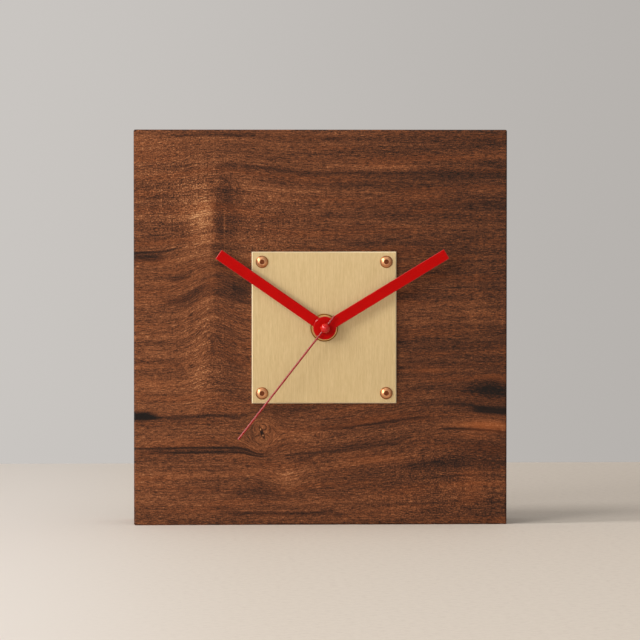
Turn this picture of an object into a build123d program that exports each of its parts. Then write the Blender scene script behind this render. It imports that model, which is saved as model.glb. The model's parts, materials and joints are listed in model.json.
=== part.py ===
from build123d import *
import os
from math import acos, cos, pi, radians, sin, sqrt, tan

# A desk clock: a walnut block with a brass dial plate, three red hands and a battery movement in its back.
# Millimetres. The origin is the middle of the block's underside, +X is right seen from the front, +Y is back.
# Every piece but the block is built on the bench: x right, y up, z towards the front, with z = 0 at the
# middle of the block's depth and the hands' axis at x = y = 0. BENCH then puts it in its place.

# Walnut block
BLOCK_WIDTH = 170.0
BLOCK_HEIGHT = 180.0
BLOCK_DEPTH = 40.0
BLOCK_ARRIS = 0.8
DIAL_SHIFT = 1.5  # the hands' axis sits this far right of the block's middle
FRONT_WOOD = 12.0  # wood left between the front face and the floor of the back pocket
POCKET_CLEARANCE = 3.0
POCKET_CORNER = 6.0
BUSH_HOLE_CLEARANCE = 0.2

# Brass dial plate and its four button-head screws
PLATE_WIDTH = 65.8
PLATE_HEIGHT = 69.0
PLATE_THICKNESS = 1.8
PLATE_CHAMFER = 0.4
SCREW_INSET = 4.6
SCREW_DIAMETER = 3.0
SCREW_LENGTH = 10.0
SCREW_POINT = 1.6
SCREW_HOLE_CLEARANCE = 0.1
HEAD_DIAMETER = 5.6
HEAD_HEIGHT = 1.65
HEAD_RIM = 0.35
HEAD_LAND_DIAMETER = 2.7
SOCKET_ACROSS_FLATS = 2.0
SOCKET_DEPTH = 1.1

# Threaded bush, ring nut and rubber washer that clamp the movement to the block
BUSH_DIAMETER = 8.0
BUSH_PROUD = 0.7
BUSH_FLANGE_DIAMETER = 12.0
BUSH_FLANGE_THICKNESS = 0.5
NUT_DIAMETER = 12.6
NUT_THICKNESS = 2.4
NUT_CHAMFER = 0.5
WASHER_DIAMETER = 20.0
WASHER_THICKNESS = 1.0

# Hands, with their angles clockwise from twelve
HAND_WIDTH = 4.9
HAND_THICKNESS = 1.0
HAND_CHAMFER = 0.2
HOUR_REACH = 58.6
HOUR_HUB_DIAMETER = 9.6
HOUR_ANGLE = 304.8
HOUR_HAND_GAP = 1.6
MINUTE_REACH = 64.7
MINUTE_HUB_DIAMETER = 10.5
MINUTE_ANGLE = 58.7
MINUTE_HAND_GAP = 1.3
SECOND_REACH = 64.0
SECOND_TAIL = 7.0
SECOND_WIDTH = 0.9
SECOND_THICKNESS = 0.35
SECOND_HUB_DIAMETER = 3.4
SECOND_ANGLE = 218.0
SECOND_HAND_GAP = 1.7
CAP_DIAMETER = 4.5
CAP_HEIGHT = 2.9
CAP_WALL = 1.5  # solid metal in front of the arbor's end
COLLET_WALL = 1.0
MINUTE_COLLET_WALL = 0.5  # thin enough to hide behind the cap
COLLET_BACK = 0.5
COLLET_FRONT = 0.4

# Tubes and arbors on the hands' axis, each running inside the next
HOUR_TUBE_DIAMETER = 5.1
MINUTE_TUBE_DIAMETER = 3.2
SECONDS_ARBOR_DIAMETER = 1.0
TUBE_CLEARANCE = 0.08
PIVOT_CLEARANCE = 0.05

# Movement case and its back cover
CASE_CORNER = 3.0
CASE_WALL = 1.2
CASE_FACE = 1.0
COVER_THICKNESS = 1.4
COVER_LIP_DEPTH = 1.2
COVER_LIP_WALL = 0.8
COVER_GAP = 0.1
DIVIDER_WALL = 1.0
BOSS_DIAMETER = 2.8
BOSS_GAP = 0.5
ARBOR_IN_BOSS = 0.5
KNOB_RECESS_MARGIN = 1.0
KNOB_RECESS_DEPTH = 0.4
CRADLE_RIB = 1.2
CRADLE_PLACE = 12.0
CRADLE_DROP = 2.0
FINGER_NOTCH_WIDTH = 16.0
FINGER_NOTCH_DEPTH = 6.0

# Battery and its two contact strips
CELL_DIAMETER = 14.2
CELL_LENGTH = 49.2
CELL_CRIMP = 0.4
NUB_DIAMETER = 5.5
NUB_LENGTH = 1.2
NUB_CHAMFER = 0.3
CELL_CLEARANCE = 0.3
CELL_BELOW_RIM = 1.0
CONTACT_THICKNESS = 0.4
CONTACT_PAD = 9.0
CONTACT_TRACK = 1.4
CONTACT_FOOT = 4.0
CONTACT_SLACK = 0.1
LEAF_WIDTH = 4.0
LEAF_THICKNESS = 0.4
LEAF_RISE = 2.2
LEAF_LIFT = 0.5

# Wheel train: tooth counts and modules
CANNON_TEETH = 14
MINUTE_WHEEL_TEETH = 42
MINUTE_PINION_TEETH = 12
HOUR_WHEEL_TEETH = 48
SETTING_TEETH = 14
MOTION_MODULE = 0.30
CENTRE_WHEEL_TEETH = 80
THIRD_PINION_TEETH = 10
THIRD_WHEEL_TEETH = 75
SECONDS_PINION_TEETH = 10
FINE_MODULE = 0.20
SECONDS_WHEEL_TEETH = 60
INTERMEDIATE_PINION_TEETH = 12
STURDY_MODULE = 0.25
INTERMEDIATE_WHEEL_TEETH = 60
ROTOR_PINION_TEETH = 10
PRESSURE_ANGLE = radians(20)
BACKLASH = 0.03
FLANK_STEPS = 3
UNSHIFTED_TEETH = 18  # a pinion with fewer teeth needs its teeth moved out
PINION_TIP = 0.8
WHEEL_TIP = 1.0
TIP_CLEARANCE = 0.2

# Wheel train: thicknesses along the axis, and where the arbors stand round the hands' axis
LAYER_GAP = 0.2
WIDE_LAYER_GAP = 0.4
WHEEL_THICKNESS = 0.6
HOUR_WHEEL_THICKNESS = 0.9
CANNON_LENGTH = 1.2
CENTRE_WHEEL_THICKNESS = 0.7
COLLAR_DIAMETER = 4.8
COLLAR_THICKNESS = 0.2
CLUTCH_DIAMETER = 8.0
CLUTCH_THICKNESS = 0.3
CLUTCH_SLOT_WIDTH = 1.3
CLUTCH_SLOT_DEPTH = 1.3
TRAIN_PLATE_THICKNESS = 1.0
TRAIN_PLATE_MARGIN = 2.6
TRAIN_PLATE_GAP = 0.6
ARBOR_DIAMETER = 0.8
POST_DIAMETER = 1.2
PILLAR_DIAMETER = 3.2
PILLAR_PIN_DIAMETER = 1.6
PILLAR_EDGE = 0.4
PINION_OVERHANG = 0.15
MINUTE_WHEEL_BEARING = radians(180)
SETTING_BEARING = radians(200)
THIRD_BEARING = radians(100)
INTERMEDIATE_BEARING = radians(20)
ROTOR_BEARING = radians(45)

# Step motor
MAGNET_DIAMETER = 6.0
MAGNET_LENGTH = 2.0
STATOR_GAP = 0.5
STATOR_RING = 1.7
STATOR_LIMB = 6.0
STATOR_ARM = 3.6
STATOR_THICKNESS = 0.8
COIL_LENGTH = 22.0
COIL_DIAMETER = 6.0
BOBBIN_DIAMETER = 6.8
BOBBIN_TUBE_DIAMETER = 3.8
BOBBIN_FLANGE = 0.8
CORE_WIDTH = 2.4
CORE_THICKNESS = 1.0
COIL_SIDE_GAP = 1.8
COIL_LIMB_GAP = 1.7
COIL_COVER_GAP = 0.25
COIL_BOARD_GAP = 1.0
ARM_GAP = 0.8

# Circuit board
BOARD_HEIGHT = 8.8
BOARD_THICKNESS = 0.8
BOARD_EDGE_GAP = 0.4
BOARD_TONGUE = 3.5
BOARD_POST_INSETS = (4.2, 29.0)
CHIP_INSET = 19.5
CHIP_DIAMETER = 5.0
CHIP_HEIGHT = 1.0
CRYSTAL_DIAMETER = 2.0
CRYSTAL_LENGTH = 6.0
CRYSTAL_INSET = 10.5
CRYSTAL_COLLAR = 0.3
CRYSTAL_COLLAR_LENGTH = 0.6

# Setting knob at the back
SETTING_SHAFT_DIAMETER = 2.4
SETTING_PIVOT_DIAMETER = 1.2
KNOB_DIAMETER = 14.0
KNOB_THICKNESS = 2.8
KNOB_FLUTES = 24
KNOB_FLUTE_DIAMETER = 1.0
KNOB_GAP = 0.3
KNOB_WEB = 0.6

CUT = 1.0  # how far a cutting solid runs past the face that it opens
STANDING = (Align.CENTER, Align.CENTER, Align.MIN)

DIAL_HEIGHT = BLOCK_HEIGHT / 2
BENCH = Plane(origin=(DIAL_SHIFT, 0, DIAL_HEIGHT), x_dir=(1, 0, 0), z_dir=(0, -1, 0)).location

# Levels along the hands' axis, from the block's front face forwards
block_front = BLOCK_DEPTH / 2
plate_front = block_front + PLATE_THICKNESS
nut_front = plate_front + NUT_THICKNESS
bush_front = nut_front + BUSH_PROUD
hour_hand_back = nut_front + HOUR_HAND_GAP
hour_hand_front = hour_hand_back + HAND_THICKNESS
hour_collet_front = hour_hand_front + COLLET_FRONT
minute_hand_back = hour_hand_front + MINUTE_HAND_GAP
minute_hand_front = minute_hand_back + HAND_THICKNESS
minute_collet_front = minute_hand_front + COLLET_FRONT
second_hand_back = minute_hand_front + SECOND_HAND_GAP
second_hand_front = second_hand_back + SECOND_THICKNESS
cap_front = second_hand_front + CAP_HEIGHT
arbor_front = cap_front - CAP_WALL

# Levels from the pocket's floor backwards through the movement
pocket_floor = block_front - FRONT_WOOD
case_front = pocket_floor - WASHER_THICKNESS
case_inside = case_front - CASE_FACE
flange_back = case_inside - BUSH_FLANGE_THICKNESS
hour_wheel_front = flange_back - LAYER_GAP
hour_wheel_back = hour_wheel_front - HOUR_WHEEL_THICKNESS
cannon_front = hour_wheel_back - LAYER_GAP
cannon_back = cannon_front - CANNON_LENGTH
minute_wheel_front = cannon_front - LAYER_GAP
minute_wheel_back = cannon_back + LAYER_GAP
train_plate_front = cannon_back - LAYER_GAP
train_plate_back = train_plate_front - TRAIN_PLATE_THICKNESS
collar_front = train_plate_back - LAYER_GAP / 2
collar_back = collar_front - COLLAR_THICKNESS
centre_wheel_front = collar_back - CLUTCH_THICKNESS
centre_wheel_back = centre_wheel_front - CENTRE_WHEEL_THICKNESS
minute_tube_back = centre_wheel_back - LAYER_GAP / 2
third_wheel_front = centre_wheel_back - WIDE_LAYER_GAP
third_wheel_back = third_wheel_front - WHEEL_THICKNESS
seconds_wheel_front = third_wheel_back - WIDE_LAYER_GAP
seconds_wheel_back = seconds_wheel_front - WHEEL_THICKNESS
intermediate_wheel_front = seconds_wheel_back - WIDE_LAYER_GAP
intermediate_wheel_back = intermediate_wheel_front - WHEEL_THICKNESS
magnet_front = intermediate_wheel_back - WIDE_LAYER_GAP
magnet_back = magnet_front - MAGNET_LENGTH
stator_front = magnet_front - LAYER_GAP
stator_back = stator_front - STATOR_THICKNESS
core_back = stator_back - CORE_THICKNESS
boss_front = magnet_back - BOSS_GAP
track_front = core_back + CONTACT_TRACK

# The case is as deep as the thicker of the two things in it: the cell, or the train with the coil
cell_depth = case_inside - CELL_CLEARANCE - CELL_DIAMETER / 2
coil_depth = stator_back - CORE_THICKNESS / 2
under_cell = cell_depth - CELL_DIAMETER / 2 - CELL_BELOW_RIM
under_coil = coil_depth - BOBBIN_DIAMETER / 2 - COIL_COVER_GAP - COVER_THICKNESS
case_back = min(under_cell, under_coil)
cover_front = case_back + COVER_THICKNESS
arbor_back = cover_front + ARBOR_IN_BOSS
knob_front = case_back - KNOB_GAP
knob_back = knob_front - KNOB_THICKNESS

# Axis distances. The seconds hand's train ends on the axis where it starts, so the second module of each
# pair follows from the distance that the first one sets.
motion_distance = MOTION_MODULE * (CANNON_TEETH + MINUTE_WHEEL_TEETH) / 2
hour_module = 2 * motion_distance / (MINUTE_PINION_TEETH + HOUR_WHEEL_TEETH)
setting_distance = MOTION_MODULE * (SETTING_TEETH + MINUTE_WHEEL_TEETH) / 2
third_distance = FINE_MODULE * (SECONDS_PINION_TEETH + THIRD_WHEEL_TEETH) / 2
centre_module = 2 * third_distance / (THIRD_PINION_TEETH + CENTRE_WHEEL_TEETH)
intermediate_distance = STURDY_MODULE * (SECONDS_WHEEL_TEETH + INTERMEDIATE_PINION_TEETH) / 2
rotor_distance = FINE_MODULE * (INTERMEDIATE_WHEEL_TEETH + ROTOR_PINION_TEETH) / 2


def step_from(point, distance, bearing):
    """The point a distance away, at an angle anticlockwise from the right."""
    return (point[0] + distance * cos(bearing), point[1] + distance * sin(bearing))


CENTRE = (0.0, 0.0)
minute_wheel_at = step_from(CENTRE, motion_distance, MINUTE_WHEEL_BEARING)
setting_at = step_from(minute_wheel_at, setting_distance, SETTING_BEARING)
third_at = step_from(CENTRE, third_distance, THIRD_BEARING)
intermediate_at = step_from(CENTRE, intermediate_distance, INTERMEDIATE_BEARING)
rotor_at = step_from(intermediate_at, rotor_distance, ROTOR_BEARING)

# Plan of the case: battery bay below, train above, a divider between them. The case is square, and as wide
# as the longest of three things in it: the cell between its contacts across it, twice the way from the
# hands' axis over the rotor and the coil to the wall, and bay, divider, coil and board one above the other.
bay_height = CELL_DIAMETER + 2 * CELL_CLEARANCE
cell_room = CELL_LENGTH + NUB_LENGTH + LEAF_RISE + 2 * (CONTACT_THICKNESS + CONTACT_SLACK)
train_room = 2 * (rotor_at[0] + STATOR_LIMB / 2 + COIL_LIMB_GAP + BOBBIN_DIAMETER + COIL_SIDE_GAP)
coil_room = bay_height + DIVIDER_WALL + 2 * (STATOR_ARM + ARM_GAP) + COIL_LENGTH
coil_room += COIL_BOARD_GAP + BOARD_TONGUE + BOARD_EDGE_GAP
inner_half = max(cell_room, train_room, coil_room) / 2
case_size = 2 * (inner_half + CASE_WALL)
bay_bottom = -inner_half
bay_top = bay_bottom + bay_height
divider_top = bay_top + DIVIDER_WALL
cell_height = (bay_bottom + bay_top) / 2
nub_end = inner_half - CONTACT_THICKNESS - CONTACT_SLACK
cell_right = nub_end - NUB_LENGTH
cell_left = cell_right - CELL_LENGTH

# Step motor plan: the coil stands upright beside the rotor, and the stator's arms reach its two ends
coil_x = inner_half - COIL_SIDE_GAP - BOBBIN_DIAMETER / 2
coil_middle = (divider_top + STATOR_ARM + ARM_GAP) + COIL_LENGTH / 2
arm_offset = COIL_LENGTH / 2 + ARM_GAP
core_half = arm_offset + STATOR_ARM
board_top = inner_half - BOARD_EDGE_GAP
board_bottom = board_top - BOARD_HEIGHT
board_half = inner_half - CONTACT_THICKNESS - BOARD_EDGE_GAP
board_front = core_back + BOARD_THICKNESS
board_middle = (board_top + board_bottom) / 2
board_right = rotor_at[0] - STATOR_LIMB / 2 - ARM_GAP
foot_top = board_top - BOARD_EDGE_GAP
plate_bottom = divider_top + TRAIN_PLATE_GAP
plate_top = board_bottom - TRAIN_PLATE_GAP
plate_left = setting_at[0] - TRAIN_PLATE_MARGIN - PILLAR_DIAMETER
plate_right = rotor_at[0] + TRAIN_PLATE_MARGIN


def rod(diameter, low, high, at=CENTRE):
    """A round bar along the bench's z axis."""
    return Pos(at[0], at[1], low) * Cylinder(diameter / 2, high - low, align=STANDING)


def sleeve(outer, inner, low, high, at=CENTRE):
    """A round bar with a hole right through it."""
    return rod(outer, low, high, at) - rod(inner, low - CUT, high + CUT, at)


def slab(left, right, bottom, top, low, high):
    """A rectangular block between two corners."""
    middle = ((left + right) / 2, (bottom + top) / 2, low)
    return Pos(*middle) * Box(right - left, top - bottom, high - low, align=STANDING)


def rounded_slab(width, height, corner, low, high):
    """A plate with round corners, centred on the hands' axis."""
    return Pos(0, 0, low) * extrude(RectangleRounded(width, height, corner), high - low)


def involute(angle):
    """The involute function of an angle in radians."""
    return tan(angle) - angle


def undercut_shift(teeth):
    """How far, in modules, a small pinion's teeth move out to keep their full roots."""
    return max(0.0, (UNSHIFTED_TEETH - teeth) / (UNSHIFTED_TEETH - 1))


def gear(teeth, module, shift, low, high, at=CENTRE, turn=0.0):
    """A spur gear with involute flanks. A pinion has a shift above zero, and its wheel the same below zero."""
    pitch = module * teeth / 2
    base = pitch * cos(PRESSURE_ANGLE)
    own_tip, other_tip = (PINION_TIP, WHEEL_TIP) if shift > 0 else (WHEEL_TIP, PINION_TIP)
    tip = pitch + module * (own_tip + shift)
    root = pitch - module * (other_tip + TIP_CLEARANCE - shift)
    half = (pi / 2 + 2 * shift * tan(PRESSURE_ANGLE)) / teeth - BACKLASH / (2 * pitch)
    start = max(base, root)
    flank = []
    if root < base:
        flank.append((root, half + involute(PRESSURE_ANGLE)))
    for step in range(FLANK_STEPS + 1):
        radius = start + (tip - start) * step / FLANK_STEPS
        away = half + involute(PRESSURE_ANGLE) - involute(acos(base / radius))
        flank.append((radius, away))
    points = []
    for tooth in range(teeth):
        middle = turn + 2 * pi * tooth / teeth
        for radius, away in flank:
            points.append((radius * cos(middle - away), radius * sin(middle - away)))
        for radius, away in reversed(flank):
            points.append((radius * cos(middle + away), radius * sin(middle + away)))
    outline = Polygon(*points, align=None)
    return Pos(at[0], at[1], low) * extrude(outline, high - low)


def meshing_turn(turn, teeth, bearing, other_teeth):
    """The turn that puts a second gear in mesh with a first one, seen from the first along a bearing."""
    passed = (bearing - turn) * teeth / (2 * pi)
    return bearing + pi - (0.5 - passed) * 2 * pi / other_teeth


def walnut_block():
    """The case of the clock, with a pocket for the movement in its back."""
    block = Box(BLOCK_WIDTH, BLOCK_DEPTH, BLOCK_HEIGHT, align=STANDING)
    block = fillet(block.edges(), BLOCK_ARRIS)
    pocket_size = case_size + 2 * POCKET_CLEARANCE
    pocket = rounded_slab(pocket_size, pocket_size, POCKET_CORNER, -block_front - CUT, pocket_floor)
    bush_hole = rod(BUSH_DIAMETER + 2 * BUSH_HOLE_CLEARANCE, pocket_floor - CUT, block_front + CUT)
    return block - BENCH * (pocket + bush_hole + screw_shanks(0))


def screw_places():
    """The four screws stand at the plate's corners."""
    across = PLATE_WIDTH / 2 - SCREW_INSET
    up = PLATE_HEIGHT / 2 - SCREW_INSET
    return [(side * across, end * up) for side in (-1, 1) for end in (-1, 1)]


def screw_shanks(clearance):
    """The four shanks, or with a clearance the holes that they pass through."""
    shanks = Part()
    for at in screw_places():
        point = Pos(at[0], at[1], plate_front - SCREW_LENGTH)
        radius = SCREW_DIAMETER / 2
        shanks += point * Cone(radius / 4, radius, SCREW_POINT, align=STANDING)
        low = plate_front - SCREW_LENGTH + SCREW_POINT
        shanks += rod(SCREW_DIAMETER + 2 * clearance, low, plate_front, at)
    return shanks


def plate_screws():
    """Button-head screws with a hexagon socket, one solid each."""
    rim, land = HEAD_DIAMETER / 2, HEAD_LAND_DIAMETER / 2
    drop = (land**2 + HEAD_HEIGHT**2 - rim**2 - HEAD_RIM**2) / (2 * (HEAD_HEIGHT - HEAD_RIM))
    ball = Sphere(sqrt(rim**2 + (HEAD_RIM - drop) ** 2))
    head_front = plate_front + HEAD_HEIGHT
    socket = extrude(RegularPolygon(SOCKET_ACROSS_FLATS / sqrt(3), 6), SOCKET_DEPTH + CUT)
    screws = screw_shanks(0)
    for at in screw_places():
        head = rod(HEAD_DIAMETER, plate_front, head_front, at)
        head &= Pos(at[0], at[1], plate_front + drop) * ball
        screws += head
        screws -= Pos(at[0], at[1], head_front - SOCKET_DEPTH) * socket
    return screws


def brass_plate():
    """The square dial plate, chamfered all round its front."""
    plate = Pos(0, 0, block_front) * Box(PLATE_WIDTH, PLATE_HEIGHT, PLATE_THICKNESS, align=STANDING)
    plate = chamfer(plate.faces().sort_by(Axis.Z)[-1].edges(), PLATE_CHAMFER)
    plate -= rod(BUSH_DIAMETER + 2 * BUSH_HOLE_CLEARANCE, block_front - CUT, plate_front + CUT)
    for at in screw_places():
        hole = SCREW_DIAMETER + 2 * SCREW_HOLE_CLEARANCE
        plate -= rod(hole, block_front - CUT, plate_front + CUT, at)
    return plate


def ring_nut():
    """The round nut in front of the plate."""
    nut = rod(NUT_DIAMETER, plate_front, nut_front)
    nut = chamfer(nut.faces().sort_by(Axis.Z)[-1].edges(), NUT_CHAMFER)
    return nut - rod(BUSH_DIAMETER, plate_front - CUT, nut_front + CUT)


def threaded_bush():
    """The brass bush, held in the case by its flange, that the nut screws on."""
    bush = rod(BUSH_DIAMETER, flange_back, bush_front)
    bush += rod(BUSH_FLANGE_DIAMETER, flange_back, case_inside)
    return bush - rod(HOUR_TUBE_DIAMETER + 2 * TUBE_CLEARANCE, flange_back - CUT, bush_front + CUT)


def rubber_washer():
    """The soft ring between the movement and the pocket's floor."""
    return sleeve(WASHER_DIAMETER, BUSH_DIAMETER + 2 * BUSH_HOLE_CLEARANCE, case_front, pocket_floor)


def bar_hand(reach, hub_diameter, back, bore, angle):
    """A straight hand of one width with a round hub, chamfered round its front face."""
    outline = Pos(0, reach / 2) * Rectangle(HAND_WIDTH, reach)
    outline += Circle(hub_diameter / 2)
    hand = Pos(0, 0, back) * extrude(outline, HAND_THICKNESS)
    hand = chamfer(hand.faces().sort_by(Axis.Z)[-1].edges(), HAND_CHAMFER)
    hand -= rod(bore, back - CUT, back + HAND_THICKNESS + CUT)
    return Rot(0, 0, -angle) * hand


def hour_hand():
    bore = HOUR_TUBE_DIAMETER + 2 * COLLET_WALL
    return bar_hand(HOUR_REACH, HOUR_HUB_DIAMETER, hour_hand_back, bore, HOUR_ANGLE)


def minute_hand():
    bore = MINUTE_TUBE_DIAMETER + 2 * MINUTE_COLLET_WALL
    return bar_hand(MINUTE_REACH, MINUTE_HUB_DIAMETER, minute_hand_back, bore, MINUTE_ANGLE)


def hour_collet():
    """The brass bush that carries the hour hand on its tube."""
    outer = HOUR_TUBE_DIAMETER + 2 * COLLET_WALL
    return sleeve(outer, HOUR_TUBE_DIAMETER, hour_hand_back - COLLET_BACK, hour_collet_front)


def minute_collet():
    """The brass bush that carries the minute hand on its tube."""
    outer = MINUTE_TUBE_DIAMETER + 2 * MINUTE_COLLET_WALL
    return sleeve(outer, MINUTE_TUBE_DIAMETER, minute_hand_back - COLLET_BACK, minute_collet_front)


def second_hand():
    """A thin needle with a short tail and a small round hub."""
    length = SECOND_REACH + SECOND_TAIL
    outline = Pos(0, SECOND_REACH - length / 2) * Rectangle(SECOND_WIDTH, length)
    outline += Circle(SECOND_HUB_DIAMETER / 2)
    needle = Pos(0, 0, second_hand_back) * extrude(outline, SECOND_THICKNESS)
    needle -= rod(SECONDS_ARBOR_DIAMETER + COLLET_WALL, second_hand_back - CUT, second_hand_front + CUT)
    return Rot(0, 0, -SECOND_ANGLE) * needle


def second_cap():
    """The domed cap that covers the middle, with a pipe through the needle's hub and onto the arbor."""
    flat = CAP_HEIGHT - CAP_DIAMETER / 2
    cap = rod(CAP_DIAMETER, second_hand_front, second_hand_front + flat)
    cap += Pos(0, 0, second_hand_front + flat) * Sphere(CAP_DIAMETER / 2)
    cap &= rod(CAP_DIAMETER, second_hand_front, cap_front)
    cap += rod(SECONDS_ARBOR_DIAMETER + COLLET_WALL, second_hand_back - COLLET_BACK, second_hand_front)
    return cap - rod(SECONDS_ARBOR_DIAMETER, second_hand_back - COLLET_BACK - CUT, arbor_front)


def hour_wheel():
    """The hour wheel with the hour tube."""
    shift = -undercut_shift(MINUTE_PINION_TEETH)
    wheel = gear(HOUR_WHEEL_TEETH, hour_module, shift, hour_wheel_back, hour_wheel_front, turn=hour_wheel_turn)
    wheel += rod(HOUR_TUBE_DIAMETER, hour_wheel_back, hour_collet_front)
    bore = MINUTE_TUBE_DIAMETER + 2 * TUBE_CLEARANCE
    return wheel - rod(bore, hour_wheel_back - CUT, hour_collet_front + CUT)


def minute_tube():
    """The tube that carries the minute hand, with the collar that the clutch presses on."""
    tube = rod(MINUTE_TUBE_DIAMETER, minute_tube_back, minute_collet_front)
    tube += rod(COLLAR_DIAMETER, collar_back, collar_front)
    bore = SECONDS_ARBOR_DIAMETER + 2 * TUBE_CLEARANCE
    return tube - rod(bore, minute_tube_back - CUT, minute_collet_front + CUT)


def cannon_pinion():
    shift = undercut_shift(CANNON_TEETH)
    pinion = gear(CANNON_TEETH, MOTION_MODULE, shift, cannon_back, cannon_front, turn=cannon_turn)
    return pinion - rod(MINUTE_TUBE_DIAMETER, cannon_back - CUT, cannon_front + CUT)


def clutch_spring():
    """A three-armed spring washer, so that the hands can be set while the train stands still."""
    spring = rod(CLUTCH_DIAMETER, centre_wheel_front, collar_back)
    for arm in range(3):
        slot = Box(2 * CLUTCH_SLOT_DEPTH, CLUTCH_SLOT_WIDTH, CLUTCH_THICKNESS + 2 * CUT, align=STANDING)
        spring -= Rot(0, 0, 120 * arm) * Pos(CLUTCH_DIAMETER / 2, 0, centre_wheel_front - CUT) * slot
    return spring - rod(MINUTE_TUBE_DIAMETER, centre_wheel_front - CUT, collar_back + CUT)


def centre_wheel():
    shift = -undercut_shift(THIRD_PINION_TEETH)
    low, high = centre_wheel_back, centre_wheel_front
    wheel = gear(CENTRE_WHEEL_TEETH, centre_module, shift, low, high, turn=centre_wheel_turn)
    return wheel - rod(MINUTE_TUBE_DIAMETER, low - CUT, high + CUT)


def minute_wheel():
    """The motion work's wheel and pinion, running on a post of the case."""
    at = minute_wheel_at
    shift = -undercut_shift(CANNON_TEETH)
    low, high = minute_wheel_back, minute_wheel_front
    wheel = gear(MINUTE_WHEEL_TEETH, MOTION_MODULE, shift, low, high, at, minute_wheel_turn)
    shift = undercut_shift(MINUTE_PINION_TEETH)
    pinion_front = hour_wheel_front + LAYER_GAP / 2
    wheel += gear(MINUTE_PINION_TEETH, hour_module, shift, high, pinion_front, at, minute_pinion_turn)
    return wheel - rod(POST_DIAMETER + 2 * PIVOT_CLEARANCE, low - CUT, pinion_front + CUT, at)


def third_wheel():
    """The third wheel, its pinion and its arbor."""
    shift = -undercut_shift(SECONDS_PINION_TEETH)
    low, high = third_wheel_back, third_wheel_front
    wheel = gear(THIRD_WHEEL_TEETH, FINE_MODULE, shift, low, high, third_at, third_wheel_turn)
    shift = undercut_shift(THIRD_PINION_TEETH)
    pinion_front = train_plate_back - LAYER_GAP
    wheel += gear(THIRD_PINION_TEETH, centre_module, shift, high, pinion_front, third_at, third_pinion_turn)
    return wheel + rod(ARBOR_DIAMETER, arbor_back, train_plate_front - LAYER_GAP, third_at)


def seconds_arbor():
    """The steel arbor through the minute tube, from the back cover to the second hand's cap."""
    return rod(SECONDS_ARBOR_DIAMETER, arbor_back, arbor_front)


def seconds_wheel():
    """The seconds wheel and its pinion, pressed on the arbor."""
    shift = undercut_shift(SECONDS_PINION_TEETH)
    low = third_wheel_back - PINION_OVERHANG
    high = third_wheel_front + PINION_OVERHANG
    pinion = gear(SECONDS_PINION_TEETH, FINE_MODULE, shift, low, high, turn=seconds_pinion_turn)
    shift = -undercut_shift(INTERMEDIATE_PINION_TEETH)
    low, high = seconds_wheel_back, seconds_wheel_front
    wheel = gear(SECONDS_WHEEL_TEETH, STURDY_MODULE, shift, low, high, turn=seconds_wheel_turn)
    hub = rod(SECONDS_ARBOR_DIAMETER + COLLET_WALL / 2, low, third_wheel_back)
    bore = rod(SECONDS_ARBOR_DIAMETER, low - CUT, third_wheel_front + CUT)
    return wheel + hub + pinion - bore


def intermediate_wheel():
    """The wheel between the rotor and the seconds wheel, with its pinion and arbor."""
    at = intermediate_at
    shift = -undercut_shift(ROTOR_PINION_TEETH)
    low, high = intermediate_wheel_back, intermediate_wheel_front
    wheel = gear(INTERMEDIATE_WHEEL_TEETH, FINE_MODULE, shift, low, high, at, intermediate_wheel_turn)
    shift = undercut_shift(INTERMEDIATE_PINION_TEETH)
    pinion_front = seconds_wheel_front + PINION_OVERHANG
    pinion_teeth = INTERMEDIATE_PINION_TEETH
    wheel += gear(pinion_teeth, STURDY_MODULE, shift, high, pinion_front, at, intermediate_pinion_turn)
    return wheel + rod(ARBOR_DIAMETER, arbor_back, train_plate_front - LAYER_GAP, at)


def rotor_pinion():
    """The rotor's arbor with its pinion."""
    shift = undercut_shift(ROTOR_PINION_TEETH)
    low = magnet_front
    high = intermediate_wheel_front + PINION_OVERHANG
    pinion = gear(ROTOR_PINION_TEETH, FINE_MODULE, shift, low, high, rotor_at, rotor_turn)
    return pinion + rod(ARBOR_DIAMETER, arbor_back, train_plate_front - LAYER_GAP, rotor_at)


def rotor_magnet():
    """The two-pole magnet ring on the rotor."""
    return sleeve(MAGNET_DIAMETER, ARBOR_DIAMETER, magnet_back, magnet_front, rotor_at)


def stator():
    """One soft-iron stamping: a ring round the rotor and two arms that reach the coil's core."""
    left, right = rotor_at[0] - STATOR_LIMB / 2, rotor_at[0] + STATOR_LIMB / 2
    top, bottom = coil_middle + core_half, coil_middle - core_half
    far = coil_x + CORE_WIDTH / 2
    plate = slab(left, right, bottom, top, stator_back, stator_front)
    plate += slab(left, far, top - STATOR_ARM, top, stator_back, stator_front)
    plate += slab(left, far, bottom, bottom + STATOR_ARM, stator_back, stator_front)
    hole = MAGNET_DIAMETER + 2 * STATOR_GAP
    plate += rod(hole + 2 * STATOR_RING, stator_back, stator_front, rotor_at)
    return plate - rod(hole, stator_back - CUT, stator_front + CUT, rotor_at)


def coil_core():
    """The flat iron core through the coil, lying on the stator's arms."""
    half = CORE_WIDTH / 2
    low, high = coil_middle - core_half, coil_middle + core_half
    return slab(coil_x - half, coil_x + half, low, high, core_back, stator_back)


def upright(diameter, bottom, top):
    """A round bar along the bench's y axis, round the coil's axis."""
    bar = Cylinder(diameter / 2, top - bottom, align=STANDING)
    return Pos(coil_x, bottom, coil_depth) * Rot(-90, 0, 0) * bar


def coil_bobbin():
    """The plastic bobbin: a tube with a flange at each end."""
    low, high = coil_middle - COIL_LENGTH / 2, coil_middle + COIL_LENGTH / 2
    bobbin = upright(BOBBIN_TUBE_DIAMETER, low, high)
    bobbin += upright(BOBBIN_DIAMETER, low, low + BOBBIN_FLANGE)
    bobbin += upright(BOBBIN_DIAMETER, high - BOBBIN_FLANGE, high)
    half = CORE_WIDTH / 2
    return bobbin - slab(coil_x - half, coil_x + half, low - CUT, high + CUT, core_back, stator_back)


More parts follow.
